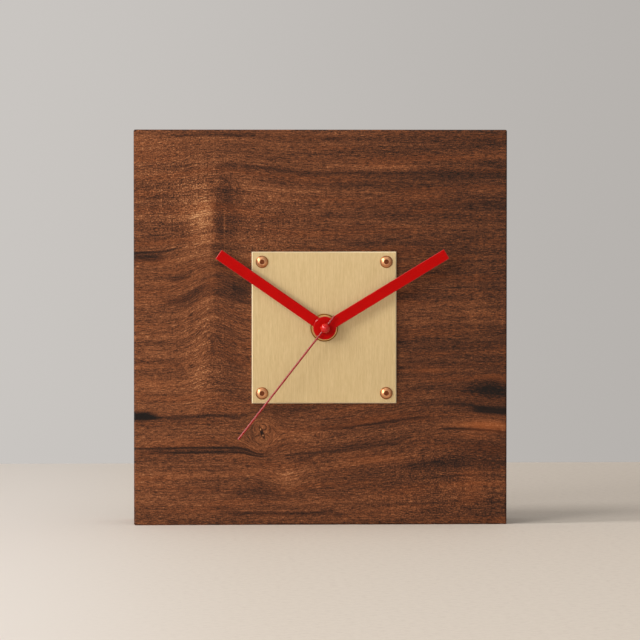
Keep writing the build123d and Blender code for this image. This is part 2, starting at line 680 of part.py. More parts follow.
def coil_winding():
    """The wire on the bobbin, as the sleeve that its many fine turns fill."""
    low = coil_middle - COIL_LENGTH / 2 + BOBBIN_FLANGE
    high = coil_middle + COIL_LENGTH / 2 - BOBBIN_FLANGE
    return upright(COIL_DIAMETER, low, high) - upright(BOBBIN_TUBE_DIAMETER, low - CUT, high + CUT)


def board_posts():
    """Where the two posts under the circuit board stand."""
    return [(inset - board_half, board_middle) for inset in BOARD_POST_INSETS]


def circuit_board():
    """The board above the train, with a tongue that reaches the right contact."""
    back, front = core_back, board_front
    board = slab(-board_half, board_right, board_bottom, board_top, back, front)
    board += slab(-board_half, board_half, board_top - BOARD_TONGUE, board_top, back, front)
    for at in board_posts():
        board -= rod(PILLAR_PIN_DIAMETER, back - CUT, front + CUT, at)
    return board


def chip_cover():
    """The domed drop of resin over the clock's chip."""
    radius = (CHIP_DIAMETER**2 / 4 + CHIP_HEIGHT**2) / (2 * CHIP_HEIGHT)
    at = (CHIP_INSET - board_half, board_middle)
    drop = Pos(at[0], at[1], core_back - CHIP_HEIGHT + radius) * Sphere(radius)
    return drop & rod(CHIP_DIAMETER + CUT, core_back - CHIP_HEIGHT - CUT, core_back, at)


def quartz_crystal():
    """The little metal can that holds the crystal, lying on the board."""
    radius = CRYSTAL_DIAMETER / 2
    place = Pos(CRYSTAL_INSET - board_half, board_middle, core_back - radius - CRYSTAL_COLLAR) * Rot(0, 90, 0)
    can = place * Cylinder(radius, CRYSTAL_LENGTH)
    collar = Cylinder(radius + CRYSTAL_COLLAR, CRYSTAL_COLLAR_LENGTH)
    return can + Pos(CRYSTAL_LENGTH / 2, 0, 0) * place * collar


def train_plate():
    """The plastic plate that carries the front ends of the arbors."""
    low, high = train_plate_back, train_plate_front
    plate = slab(plate_left, plate_right, plate_bottom, plate_top, low, high)
    plate -= rod(MINUTE_TUBE_DIAMETER + 2 * PIVOT_CLEARANCE, low - CUT, high + CUT)
    for at in (third_at, intermediate_at, rotor_at):
        plate -= rod(ARBOR_DIAMETER + 2 * PIVOT_CLEARANCE, low - CUT, high + CUT, at)
    plate -= rod(SETTING_SHAFT_DIAMETER + 2 * PIVOT_CLEARANCE, low - CUT, high + CUT, setting_at)
    plate -= rod(POST_DIAMETER, low - CUT, high + CUT, minute_wheel_at)
    for at in pillar_places():
        plate -= rod(PILLAR_PIN_DIAMETER, low - CUT, high + CUT, at)
    return plate


def pillar_places():
    """The four pillars under the train plate stand just inside its corners."""
    edge = PILLAR_DIAMETER / 2 + PILLAR_EDGE
    across = (plate_left + edge, plate_right - edge)
    up = (plate_bottom + edge, plate_top - edge)
    return [(x, y) for x in across for y in up]


def movement_case():
    """The front half of the movement: a tray with the battery bay, the divider, pillars and posts."""
    case = rounded_slab(case_size, case_size, CASE_CORNER, case_back, case_front)
    half = case_size / 2
    case -= slab(-half - CUT, half + CUT, bay_top, half + CUT, case_back - CUT, cover_front)
    case -= slab(-inner_half, inner_half, bay_bottom, bay_top, case_back - CUT, case_inside)
    case -= slab(-inner_half, inner_half, divider_top, inner_half, case_back - CUT, case_inside)
    for side in (-1, 1):
        outer, inner = side * inner_half, side * (inner_half - CONTACT_THICKNESS)
        left, right = min(outer, inner), max(outer, inner)
        case -= slab(left, right, bay_top - CUT, divider_top + CUT, case_back - CUT, track_front)
    cell = Cylinder(CELL_DIAMETER / 2 + CELL_CLEARANCE, case_size)
    cell = Pos(0, cell_height, cell_depth) * Rot(0, 90, 0) * cell
    for side in (-1, 1):
        middle = side * CRADLE_PLACE
        left, right = middle - CRADLE_RIB / 2, middle + CRADLE_RIB / 2
        case += slab(left, right, bay_bottom, bay_top, cell_depth + CRADLE_DROP, case_inside) - cell
    notch = FINGER_NOTCH_WIDTH / 2
    case -= slab(-notch, notch, -half - CUT, bay_bottom + CUT, case_back - CUT, case_back + FINGER_NOTCH_DEPTH)
    for at in pillar_places():
        case += rod(PILLAR_DIAMETER, train_plate_front, case_inside, at)
        case += rod(PILLAR_PIN_DIAMETER, train_plate_back, train_plate_front, at)
    for at in board_posts():
        case += rod(PILLAR_DIAMETER, board_front, case_inside, at)
        case += rod(PILLAR_PIN_DIAMETER, core_back, board_front, at)
    case += rod(POST_DIAMETER, train_plate_front - TRAIN_PLATE_THICKNESS / 2, case_inside, minute_wheel_at)
    case += rod(PILLAR_DIAMETER, hour_wheel_front, case_inside, setting_at)
    pivot_hole = SETTING_PIVOT_DIAMETER + 2 * PIVOT_CLEARANCE
    case -= rod(pivot_hole, hour_wheel_front - CUT, case_inside, setting_at)
    return case - rod(BUSH_DIAMETER, case_inside - CUT, case_front + CUT)


def movement_cover():
    """The back cover, with a lip inside the case and a boss for each arbor's back end."""
    half = case_size / 2
    cover = rounded_slab(case_size, case_size, CASE_CORNER, case_back, cover_front)
    cover &= slab(-half, half, bay_top + COVER_GAP, half, case_back, cover_front)
    outer = inner_half - COVER_GAP
    inner = outer - COVER_LIP_WALL
    low, high = cover_front, cover_front + COVER_LIP_DEPTH
    lip_bottom = divider_top + COVER_GAP
    lip = slab(-outer, outer, lip_bottom, outer, low, high)
    lip -= slab(-inner, inner, lip_bottom + COVER_LIP_WALL, inner, low - CUT, high + CUT)
    cover += lip
    for at in (third_at, intermediate_at, rotor_at):
        cover += rod(BOSS_DIAMETER, cover_front, boss_front, at)
        cover -= rod(ARBOR_DIAMETER + 2 * PIVOT_CLEARANCE, arbor_back - LAYER_GAP, boss_front + CUT, at)
    cover += rod(BOSS_DIAMETER, cover_front, boss_front)
    cover -= rod(SECONDS_ARBOR_DIAMETER + 2 * PIVOT_CLEARANCE, arbor_back - LAYER_GAP, boss_front + CUT)
    recess = KNOB_DIAMETER + 2 * KNOB_RECESS_MARGIN
    cover -= rod(recess, case_back - CUT, case_back + KNOB_RECESS_DEPTH, setting_at)
    shaft_hole = SETTING_SHAFT_DIAMETER + 2 * PIVOT_CLEARANCE
    return cover - rod(shaft_hole, case_back - CUT, cover_front + CUT, setting_at)


def battery_can():
    """The cell's can, lying across the bay, with a stepped crimp at its front end."""
    length = cell_right - cell_left
    can = Cylinder(CELL_DIAMETER / 2, length, align=STANDING)
    can = chamfer(can.edges(), CELL_CRIMP)
    return Pos(cell_left, cell_height, cell_depth) * Rot(0, 90, 0) * can


def battery_nub():
    """The cell's positive button."""
    button = Cylinder(NUB_DIAMETER / 2, NUB_LENGTH, align=STANDING)
    button = chamfer(button.faces().sort_by(Axis.Z)[-1].edges(), NUB_CHAMFER)
    return Pos(cell_right, cell_height, cell_depth) * Rot(0, 90, 0) * button


def contact_strip(side):
    """A contact strip: a pad at the cell's end, a track up the case's wall and a foot on the board."""
    outer, inner = side * inner_half, side * (inner_half - CONTACT_THICKNESS)
    left, right = min(outer, inner), max(outer, inner)
    half_pad = CONTACT_PAD / 2
    foot_bottom = foot_top - BOARD_TONGUE / 2
    foot_back = core_back - CONTACT_THICKNESS
    low, high = cell_height - half_pad, cell_height + half_pad
    strip = slab(left, right, low, high, cell_depth - half_pad, cell_depth + half_pad)
    strip += slab(left, right, low, foot_top, foot_back, track_front)
    foot_inner = side * (inner_half - CONTACT_FOOT)
    left, right = min(outer, foot_inner), max(outer, foot_inner)
    return strip + slab(left, right, foot_bottom, foot_top, foot_back, core_back)


def positive_contact():
    return contact_strip(1)


def negative_contact():
    """The other strip, with a leaf bent from its pad that presses on the cell. The leaf's upper end is free."""
    wall = CONTACT_THICKNESS - inner_half
    root = wall - CONTACT_THICKNESS / 2
    crest = cell_left - CONTACT_SLACK
    tip = wall + LEAF_LIFT
    low = cell_height - CONTACT_PAD / 2 + LEAF_THICKNESS
    high = cell_height + CONTACT_PAD / 2 - LEAF_THICKNESS
    front = [(root, low), (crest, cell_height), (tip + LEAF_THICKNESS, high)]
    back = [(tip, high), (crest - LEAF_THICKNESS, cell_height), (root, low + LEAF_THICKNESS)]
    leaf = extrude(Polygon(*front, *back, align=None), LEAF_WIDTH)
    return contact_strip(-1) + Pos(0, 0, cell_depth - LEAF_WIDTH / 2) * leaf


def setting_pinion():
    """The shaft that sets the hands from the back, with its gear."""
    shift = undercut_shift(SETTING_TEETH)
    low, high = minute_wheel_back - LAYER_GAP / 2, minute_wheel_front + LAYER_GAP / 2
    pinion = gear(SETTING_TEETH, MOTION_MODULE, shift, low, high, setting_at, setting_turn)
    pinion += rod(SETTING_SHAFT_DIAMETER, knob_back + KNOB_WEB, high, setting_at)
    return pinion + rod(SETTING_PIVOT_DIAMETER, high, case_inside - LAYER_GAP, setting_at)


def setting_knob():
    """The fluted knob on the back, pressed on the shaft."""
    knob = rod(KNOB_DIAMETER, knob_back, knob_front, setting_at)
    for flute in range(KNOB_FLUTES):
        at = step_from(setting_at, KNOB_DIAMETER / 2, 2 * pi * flute / KNOB_FLUTES)
        knob -= rod(KNOB_FLUTE_DIAMETER, knob_back - CUT, knob_front + CUT, at)
    return knob - rod(SETTING_SHAFT_DIAMETER, knob_back + KNOB_WEB, knob_front + CUT, setting_at)


# Turns that leave every pair of gears in mesh at rest
cannon_turn = 0.0
minute_wheel_turn = meshing_turn(cannon_turn, CANNON_TEETH, MINUTE_WHEEL_BEARING, MINUTE_WHEEL_TEETH)
setting_turn = meshing_turn(minute_wheel_turn, MINUTE_WHEEL_TEETH, SETTING_BEARING, SETTING_TEETH)
hour_wheel_turn = 0.0
minute_pinion_turn = meshing_turn(hour_wheel_turn, HOUR_WHEEL_TEETH, MINUTE_WHEEL_BEARING, MINUTE_PINION_TEETH)
centre_wheel_turn = 0.0
third_pinion_turn = meshing_turn(centre_wheel_turn, CENTRE_WHEEL_TEETH, THIRD_BEARING, THIRD_PINION_TEETH)
seconds_pinion_turn = 0.0
third_wheel_turn = meshing_turn(seconds_pinion_turn, SECONDS_PINION_TEETH, THIRD_BEARING, THIRD_WHEEL_TEETH)
seconds_wheel_turn = 0.0
intermediate_pinion_turn = meshing_turn(
    seconds_wheel_turn, SECONDS_WHEEL_TEETH, INTERMEDIATE_BEARING, INTERMEDIATE_PINION_TEETH
)
intermediate_wheel_turn = 0.0
rotor_turn = meshing_turn(intermediate_wheel_turn, INTERMEDIATE_WHEEL_TEETH, ROTOR_BEARING, ROTOR_PINION_TEETH)

BENCH_PIECES = [
    brass_plate,
    plate_screws,
    ring_nut,
    threaded_bush,
    rubber_washer,
    hour_hand,
    hour_collet,
    minute_hand,
    minute_collet,
    second_hand,
    second_cap,
    movement_case,
    movement_cover,
    train_plate,
    hour_wheel,
    minute_tube,
    cannon_pinion,
    clutch_spring,
    centre_wheel,
    minute_wheel,
    third_wheel,
    seconds_arbor,
    seconds_wheel,
    intermediate_wheel,
    rotor_pinion,
    rotor_magnet,
    stator,
    coil_core,
    coil_bobbin,
    coil_winding,
    circuit_board,
    chip_cover,
    quartz_crystal,
    positive_contact,
    negative_contact,
    battery_can,
    battery_nub,
    setting_pinion,
    setting_knob,
]

os.makedirs("parts", exist_ok=True)
export_step(walnut_block(), "parts/walnut_block.step")
for piece in BENCH_PIECES:
    export_step(BENCH * piece(), f"parts/{piece.__name__}.step")
print("pieces written:", len(BENCH_PIECES) + 1)
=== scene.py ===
import json
import math

import bmesh
import bpy
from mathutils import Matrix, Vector

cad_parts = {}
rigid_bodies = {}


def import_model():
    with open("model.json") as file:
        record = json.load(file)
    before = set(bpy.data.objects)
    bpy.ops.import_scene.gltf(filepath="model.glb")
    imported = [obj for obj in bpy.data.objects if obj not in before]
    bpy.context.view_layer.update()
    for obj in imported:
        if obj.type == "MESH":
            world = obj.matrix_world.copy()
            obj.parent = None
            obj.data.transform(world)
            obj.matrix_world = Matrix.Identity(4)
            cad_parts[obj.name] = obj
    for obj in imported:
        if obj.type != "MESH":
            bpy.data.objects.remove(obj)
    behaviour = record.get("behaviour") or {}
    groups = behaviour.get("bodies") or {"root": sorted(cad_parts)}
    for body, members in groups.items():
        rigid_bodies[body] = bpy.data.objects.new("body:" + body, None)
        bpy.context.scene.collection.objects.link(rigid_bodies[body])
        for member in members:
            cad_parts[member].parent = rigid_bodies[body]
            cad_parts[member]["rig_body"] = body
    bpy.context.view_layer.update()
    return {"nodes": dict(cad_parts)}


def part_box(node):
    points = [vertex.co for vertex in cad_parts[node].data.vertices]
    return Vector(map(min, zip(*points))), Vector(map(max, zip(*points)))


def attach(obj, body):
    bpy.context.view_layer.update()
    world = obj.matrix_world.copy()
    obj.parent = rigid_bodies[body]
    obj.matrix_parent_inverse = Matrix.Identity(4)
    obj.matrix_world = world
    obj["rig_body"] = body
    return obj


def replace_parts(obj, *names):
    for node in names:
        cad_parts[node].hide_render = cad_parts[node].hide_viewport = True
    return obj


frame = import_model()

# The walnut block is one piece of solid wood, sawn with its grain lying across the clock, planed
# and oiled. Its figure comes from the tree's growth lines, which part round a knot and round the
# foot of an old branch. The end grain, the top and the back show the same growth lines.
MM = 0.001


class Wire:
    """One output of a finish's nodes. Arithmetic on it adds the Math node that does the same."""

    def __init__(self, nodes, socket):
        self.nodes = nodes
        self.socket = socket

    def maths(self, operation, first, second=0.0):
        return self.nodes.add("Math", {"operation": operation}, {0: first, 1: second})

    def __add__(self, other):
        return self.maths("ADD", self, other)

    def __sub__(self, other):
        return self.maths("SUBTRACT", self, other)

    def __rsub__(self, other):
        return self.maths("SUBTRACT", other, self)

    def __mul__(self, other):
        return self.maths("MULTIPLY", self, other)

    def __truediv__(self, other):
        return self.maths("DIVIDE", self, other)

    def __rtruediv__(self, other):
        return self.maths("DIVIDE", other, self)

    def __neg__(self):
        return self.maths("MULTIPLY", self, -1.0)

    def __abs__(self):
        return self.maths("ABSOLUTE", self)

    def power(self, other):
        return self.maths("POWER", self, other)

    def least(self, other):
        return self.maths("MINIMUM", self, other)

    def most(self, other):
        return self.maths("MAXIMUM", self, other)

    def fold(self, width):
        """Runs from 0 up to the width and back again, over and over."""
        return self.maths("PINGPONG", self, width)

    def between(self, low, high):
        """0 at low and 1 at high, with a soft run between the two."""
        settings = {"interpolation_type": "SMOOTHSTEP"}
        return self.nodes.add("MapRange", settings, {0: self, 1: low, 2: high, 3: 0.0, 4: 1.0})

    def mix(self, low, high):
        """The colour low where this is 0, and high where it is 1."""
        return self.nodes.add("Mix", {"data_type": "RGBA"}, {0: self, 6: low, 7: high}, output=2)

    def ramp(self, *stops):
        """The colour that this value has on a run of (value, colour) stops."""
        return self.nodes.add("ValToRGB", {"stops": stops}, {0: self})

    __radd__ = __add__
    __rmul__ = __mul__


class Nodes:
    """The shader nodes of a material or of the world, and the method that adds a node to them."""

    def __init__(self, owner):
        owner.use_nodes = True
        self.owner = owner
        self.tree = owner.node_tree
        self.tree.nodes.clear()

    def add(self, kind, settings=None, values=None, output=0):
        made = self.tree.nodes.new("ShaderNode" + kind)
        for name, setting in (settings or {}).items():
            if name == "stops":
                elements = made.color_ramp.elements
                elements.remove(elements[1])
                elements[0].position, elements[0].color = setting[0]
                for place, colour in setting[1:]:
                    elements.new(place).color = colour
            else:
                setattr(made, name, setting)
        for key, value in (values or {}).items():
            if isinstance(value, Wire):
                self.tree.links.new(value.socket, made.inputs[key])
            else:
                made.inputs[key].default_value = value
        return Wire(self, made.outputs[output] if len(made.outputs) else None)

    def place(self):
        """The point's place in the clock at rest, as three wires in millimetres."""
        metres = self.add("TexCoord", output=3)
        scaled = self.add("VectorMath", {"operation": "SCALE"}, {0: metres, 3: 1 / MM})
        return [self.add("SeparateXYZ", {}, {0: scaled}, output=i) for i in range(3)]

    def noise(self, across, along, up, detail=2.0, rough=0.5):
        """Cloudy noise about 0. Its wires step by 1 from blot to blot: x / 26 gives 26 mm blots."""
        spot = self.add("CombineXYZ", {}, {0: across, 1: along, 2: up})
        values = {"Vector": spot, "Scale": 1.0, "Detail": detail, "Roughness": rough}
        return self.add("TexNoise", {"noise_dimensions": "3D"}, values) - 0.5

    def facing(self, axis=1):
        """1 where the surface faces along an axis: across is 0, front and back 1, up and down 2."""
        return abs(self.add("SeparateXYZ", {}, {0: self.add("TexCoord", output=1)}, output=axis))

    def bump(self, height, depth_mm):
        """A normal from a height of 0 to 1 that stands for this many millimetres."""
        values = {"Strength": 1.0, "Distance": depth_mm * MM, "Height": height}
        return self.add("Bump", {}, values)

    def surface(self, **sockets):
        """Closes the material with one principled shader, its sockets named with _ for a space."""
        values = {name.replace("_", " "): value for name, value in sockets.items()}
        shader = self.add("BsdfPrincipled", {}, values)
        self.add("OutputMaterial", {}, {0: shader})
        return self.owner


def new_finish(name):
    return Nodes(bpy.data.materials.new(name))


def srgb(*channels):
    """A colour as a screen shows it, 0 to 255, in the linear light that the nodes use."""
    shares = [channel / 255 for channel in channels]
    linear = [((v + 0.055) / 1.055) ** 2.4 if v > 0.04045 else v / 12.92 for v in shares]
    return (*linear, 1.0)


def bell(square):
    """A soft hump: 1 where the square is 0, and next to nothing where it is over 4."""
    if isinstance(square, Wire):
        return square.maths("EXPONENT", -square)
    return math.exp(-square)


def hump(x, z, middle_x, middle_z, half_width, half_height):
    """A soft oval hump on the front face: 1 in its middle, and about a third at its half sizes."""
    across = (x - middle_x) / half_width
    up = (z - middle_z) / half_height
    return bell(across * across + up * up)


# Each swell lifts the growth lines. Its numbers are the x and z of its middle, its half width, its
# half height and the lift, all in millimetres.
SWELLS = [
    (-49.0, 98.0, 10.0, 34.0, 7.5),
    (-62.0, 125.0, 9.0, 8.0, 2.2),
    (-30.0, 104.0, 22.0, 36.0, 3.5),
    (-44.0, 160.0, 22.0, 14.0, 4.0),
    (62.0, 46.0, 48.0, 24.0, 8.5),
    (82.0, 18.0, 55.0, 14.0, 3.5),
    (-16.0, 20.0, 9.0, 10.0, -3.0),
]
# Each parting pushes them away, up above its middle and down below: the same four numbers, and
# the push.
PARTINGS = [
    (-26.8, 41.6, 6.0, 7.0, 13.0),
    (1.0, 41.0, 6.0, 2.2, 2.6),
    (76.0, 60.5, 9.0, 6.0, 4.5),
]
# The growth lines rise and bow as they run back into the wood.
RING_SLANT = 0.22
RING_BOW = 0.004


def growth_line(x, depth, z):
    """The growth line through a point, as its height on the front face where it lies level."""
    line = z - RING_SLANT * depth - RING_BOW * depth * depth
    for middle_x, middle_z, half_width, half_height, lift in SWELLS:
        line = line - lift * hump(x, z, middle_x, middle_z, half_width, half_height)
    for middle_x, middle_z, half_width, half_height, push in PARTINGS:
        up = (z - middle_z) / half_height
        line = line - push * up * hump(x, z, middle_x, middle_z, half_width, half_height)
    return line


# Each dark streak keeps to the growth line through one point. Its numbers are the point's x and z,
# its half thickness, the x of its two ends, and its darkness.
STREAKS = [
    (0.7, 160.2, 0.8, -48.0, 90.0, 0.19),
    (74.0, 158.4, 1.6, 48.0, 99.0, 0.10),
    (-50.0, 177.6, 0.7, -72.0, -26.0, 0.16),
    (6.0, 176.0, 0.7, -2.0, 14.0, 0.20),
    (-80.0, 124.0, 0.5, -95.0, -60.0, 0.42),
    (-80.0, 121.6, 1.8, -95.0, -68.0, 0.34),
    (-63.0, 112.6, 1.2, -72.0, -56.0, 0.26),
    (-58.0, 105.0, 1.4, -74.0, -48.0, 0.30),
    (-36.0, 106.5, 2.0, -44.0, -30.0, 0.24),
    (-82.0, 49.7, 1.7, -95.0, -72.0, 0.75),
    (-66.0, 48.9, 0.8, -88.0, -32.0, 0.22),
    (-66.0, 35.1, 0.5, -94.0, -22.0, 0.34),
    (-66.0, 33.0, 0.5, -80.0, -20.0, 0.34),
    (-66.0, 34.0, 1.2, -84.0, -22.0, 0.17),
    (0.7, 33.2, 0.6, -21.0, 40.0, 0.22),
    (14.0, 44.6, 0.6, -6.0, 52.0, 0.30),
    (22.0, 37.0, 0.6, 2.0, 46.0, 0.15),
    (80.0, 52.0, 1.9, 66.0, 99.0, 0.60),
    (72.0, 53.8, 1.4, 52.0, 82.0, 0.18),
    (78.0, 42.8, 0.4, 52.0, 95.0, 0.60),
    (-25.0, 5.2, 0.7, -46.0, 8.0, 0.26),
    (50.0, 27.2, 2.0, 34.0, 95.0, 0.15),
    (70.0, 22.5, 0.6, 44.0, 90.0, 0.16),
    (60.0, 10.5, 0.7, 20.0, 90.0, 0.18),
]
STREAK_FADE = 9.0
# Each soft patch is lighter or darker: the x and z of its middle, its half width, its half height,
# and the change of tone.
PATCHES = [
    (-74.0, 160.0, 20.0, 16.0, -0.04),
    (-43.0, 149.0, 6.5, 10.0, -0.20),
    (-44.5, 128.0, 5.0, 12.0, -0.10),
    (70.5, 98.0, 4.0, 16.0, 0.07),
    (-33.0, 112.0, 8.0, 5.0, -0.12),
    (-40.0, 76.0, 6.0, 24.0, -0.07),
    (-56.0, 70.0, 5.0, 12.0, 0.10),
    (78.0, 61.4, 9.0, 3.2, -0.50),
    (80.0, 34.5, 18.0, 4.5, -0.22),
    (55.0, 28.6, 11.0, 2.8, -0.10),
    (75.0, 44.5, 13.0, 4.5, 0.17),
    (-16.0, 22.5, 6.0, 6.5, 0.16),
    (-27.0, 15.8, 10.0, 3.6, -0.14),
    (-44.0, 6.4, 7.0, 2.4, -0.13),
    (-18.0, 53.5, 12.0, 3.0, -0.11),
    (27.0, 162.6, 26.0, 1.6, 0.10),
    (60.0, 118.0, 30.0, 22.0, -0.05),
    (28.0, 12.0, 56.0, 15.0, 0.035),
    (69.0, 20.0, 4.0, 8.0, 0.06),
]
# Where the fibres run in and out of the face, the grain breaks up into dots: the same four
# numbers, and how much it does.
CURLS = [
    (-62.0, 152.0, 24.0, 22.0, 1.0),
    (-26.0, 136.0, 18.0, 14.0, 0.6),
    (-50.0, 76.0, 10.0, 26.0, 0.5),
    (58.0, 18.0, 30.0, 16.0, 0.6),
]
# A crease in the figure runs up the left side, and fades out behind the front. Its left side is
# painted paler, as light, and its right side darker, as shade. A pool of painted light and a thin
# painted highlight lie beside it.
CREASE = (-49.0, 112.0, 11.0, 46.0)
CREASE_EDGE = (-51.0, -46.5)
CREASE_LEAN = 0.05
CREASE_SWAY = 7.0
CREASE_PAINTED_LIGHT = 0.05
CREASE_PAINTED_SHADE = 0.14
CREASE_DEPTH = (5.0, 30.0)
CREASE_FADE = 0.8
PAINTED_LIGHT_POOL = (-53.5, 139.0, 7.0, 10.0)
POOL_PAINTED_LIGHT = 0.27
PAINTED_GLEAM = (-43.8, 137.0, 0.4, 8.0)
GLEAM_PAINTED_HIGHLIGHT = 0.26
# The heartwood glows orange in places: the same four numbers, and how strongly.
EMBERS = [
    (75.0, 44.5, 13.0, 4.5, 0.55),
    (-49.0, 110.0, 4.0, 5.0, 0.30),
    (-71.0, 115.0, 12.0, 6.0, 0.22),
    (48.0, 70.5, 12.0, 3.0, 0.25),
    (25.0, 29.5, 15.0, 4.0, 0.20),
    (68.0, 16.0, 6.0, 8.0, 0.22),
]
# The knot has dried open in a short crack, sunk in the bump and painted dark, with a painted
# highlight at each end.
CRACK = (-26.8, 42.2, 0.9, 3.4)
CRACK_TILT = 0.35
CRACK_RIM = (0.3, 0.75)
CRACK_DARKER = 0.75
CRACK_PAINTED_GLINTS = [(-27.4, 43.6), (-26.3, 40.8)]
PAINTED_GLINT_SIZE = (0.35, 0.6)
GLINT_PAINTED_HIGHLIGHT = 1.3
# A band along the block's arrises is painted darker, as shade.
ARRIS_WIDTH = (0.2, 1.1)
ARRIS_PAINTED_SHADE = 0.06
END_GRAIN_FACING = (0.6, 0.95)
END_GRAIN_DARKER = 0.1
END_GRAIN_COOLER = 0.7
PORE_DEPTH = 0.06
# The wood's middle tone, and how much darker it gets towards the right edge, on this run of tones.
WALNUT_TONE = 0.509
DARKER_AT_RIGHT = 0.075
WALNUT_TONES = [
    (0.00, srgb(20, 13, 9)),
    (0.20, srgb(44, 25, 15)),
    (0.38, srgb(72, 40, 23)),
    (0.52, srgb(97, 55, 31)),
    (0.68, srgb(124, 73, 43)),
    (0.84, srgb(160, 102, 64)),
    (1.00, srgb(200, 148, 102)),
]
WALNUT_WARMTH = srgb(148, 76, 32)
WARM_SHARE = 0.24


def oiled_walnut(block):
    low, high = [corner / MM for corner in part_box(block)]
    wood = new_finish("oiled_walnut")
    x, y, z = wood.place()
    depth = y - low.y
    line = growth_line(x, depth, z)
    line = line + 1.6 * wood.noise(x / 26, depth / 14, z / 12)
    line = line + 0.5 * wood.noise(x / 5, depth / 5, line / 4)

    # The grain's layers, from broad bands to single fibres, all drawn out along the growth lines.
    broad = wood.noise(x / 150, depth / 12, line / 11)
    bands = wood.noise(x / 60, depth / 3.5, line / 3.0, detail=3)
    fine = wood.noise(x / 14, depth / 1.0, line / 0.9, detail=3)
    fibre = wood.noise(x / 5, depth / 0.5, line / 0.45)
    dash = wood.noise(x / 2.0, depth / 0.5, line / 0.42, detail=2, rough=0.65)
    dots = wood.noise(x / 0.7, depth / 0.5, z / 0.48, detail=1)
    pore = wood.noise(x / 3.2, depth / 0.6, line / 0.5, detail=1).between(0.06, 0.16)
    ripple = wood.noise(x / 1.7, depth / 6, line / 14, detail=2)
    sway = wood.noise(x / 40, depth / 20, z / 11)

    curly = 0.0
    for middle_x, middle_z, half_width, half_height, share in CURLS:
        curly = share * hump(x, z, middle_x, middle_z, half_width, half_height) + curly
    tone = WALNUT_TONE + 0.42 * broad + 0.48 * bands + 0.55 * fine + 0.5 * fibre
    tone = tone - DARKER_AT_RIGHT * (x / high.x)
    tone = tone + 0.9 * dash - 0.16 * pore - 0.1 * fine.between(0.08, 0.2)
    tone = tone + (0.6 + 0.9 * curly) * dots + 0.35 * curly * ripple
    for middle_x, middle_z, half_width, half_height, change in PATCHES:
        tone = tone + change * hump(x, z, middle_x, middle_z, half_width, half_height)
    # The crease's pale side and the pool are painted light, its dark side painted shade, the gleam
    # a painted highlight.
    crease_shaded_side = (x - CREASE_LEAN * (z - CREASE[1]) + CREASE_SWAY * sway).between(*CREASE_EDGE)
    shallow = 1 - CREASE_FADE * depth.between(*CREASE_DEPTH)
    tone = tone + hump(x, z, *CREASE) * (CREASE_PAINTED_LIGHT - CREASE_PAINTED_SHADE * crease_shaded_side) * shallow
    tone = tone + POOL_PAINTED_LIGHT * hump(x, z, *PAINTED_LIGHT_POOL) * (1 - crease_shaded_side) * shallow
    tone = tone + GLEAM_PAINTED_HIGHLIGHT * hump(x, z, *PAINTED_GLEAM) * shallow
    broken = 1 + 2.5 * fine + 1.5 * dash
    for place_x, place_z, half, start, end, darkness in STREAKS:
        away = (line - growth_line(place_x, 0.0, place_z)) / half
        run = x.between(start, start + STREAK_FADE) * (1 - x.between(end - STREAK_FADE, end))
        tone = tone - darkness * bell(away * away) * run * broken
    tilted_x = x + CRACK_TILT * (z - CRACK[1])
    crack = hump(tilted_x, z, *CRACK)
    tone = tone - CRACK_DARKER * crack.between(*CRACK_RIM)
    # Each glint is a painted highlight.
    for glint_x, glint_z in CRACK_PAINTED_GLINTS:
        tone = tone + GLINT_PAINTED_HIGHLIGHT * hump(x, z, glint_x, glint_z, *PAINTED_GLINT_SIZE)

    # The middle one of the three gaps to the block's faces says how near an arris is.
    gaps = [high.x - abs(x), abs(high.y - abs(y)), abs(high.z / 2 - abs(z - high.z / 2))]
    near, far = gaps[0].least(gaps[1]), gaps[0].most(gaps[1])
    to_arris = near.most(far.least(gaps[2]))
    # Painted shade along the arrises.
    tone = tone - ARRIS_PAINTED_SHADE * (1 - to_arris.between(*ARRIS_WIDTH))
    end_grain = wood.facing(axis=0).between(*END_GRAIN_FACING)
    tone = tone - end_grain * (END_GRAIN_DARKER + 0.5 * dash)

    warm = (wood.noise(x / 60, depth / 6, line / 5) + 0.6 * dash).between(-0.05, 0.3) * WARM_SHARE
    glowing = (0.5 + 2.0 * bands).between(0.2, 0.8)
    for middle_x, middle_z, half_width, half_height, share in EMBERS:
        warm = warm + share * hump(x, z, middle_x, middle_z, half_width, half_height) * glowing
    warm = warm * (1 - END_GRAIN_COOLER * end_grain)
    colour = warm.mix(tone.ramp(*WALNUT_TONES), WALNUT_WARMTH)
    height = 0.6 + 0.5 * fibre - 0.5 * pore - crack
    return wood.surface(
        Base_Color=colour,
        Roughness=0.5 + 0.25 * fine + 0.15 * pore,
        Specular_IOR_Level=0.15,
        Normal=wood.bump(height, PORE_DEPTH),
    )


def dress(finish, *nodes):
    """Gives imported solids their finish."""
    for node in nodes:
        for slot in frame["nodes"][node].material_slots:
            slot.material = finish


dress(oiled_walnut("walnut_block"), "walnut_block")

# The plate is 1.8 mm sheet brass, sawn square and chamfered round its front. Its face is brushed
# upright with fine abrasive, then lacquered so that it stays pale.
BRUSHED_BRASS = srgb(213, 188, 140)
BRASS_IN_THE_LINES = srgb(194, 166, 117)
# The chamfer's paler colour is a painted highlight.
BRASS_ARRIS_HIGHLIGHT = srgb(240, 222, 182)
BRASS_FACE = (0.74, 0.95)


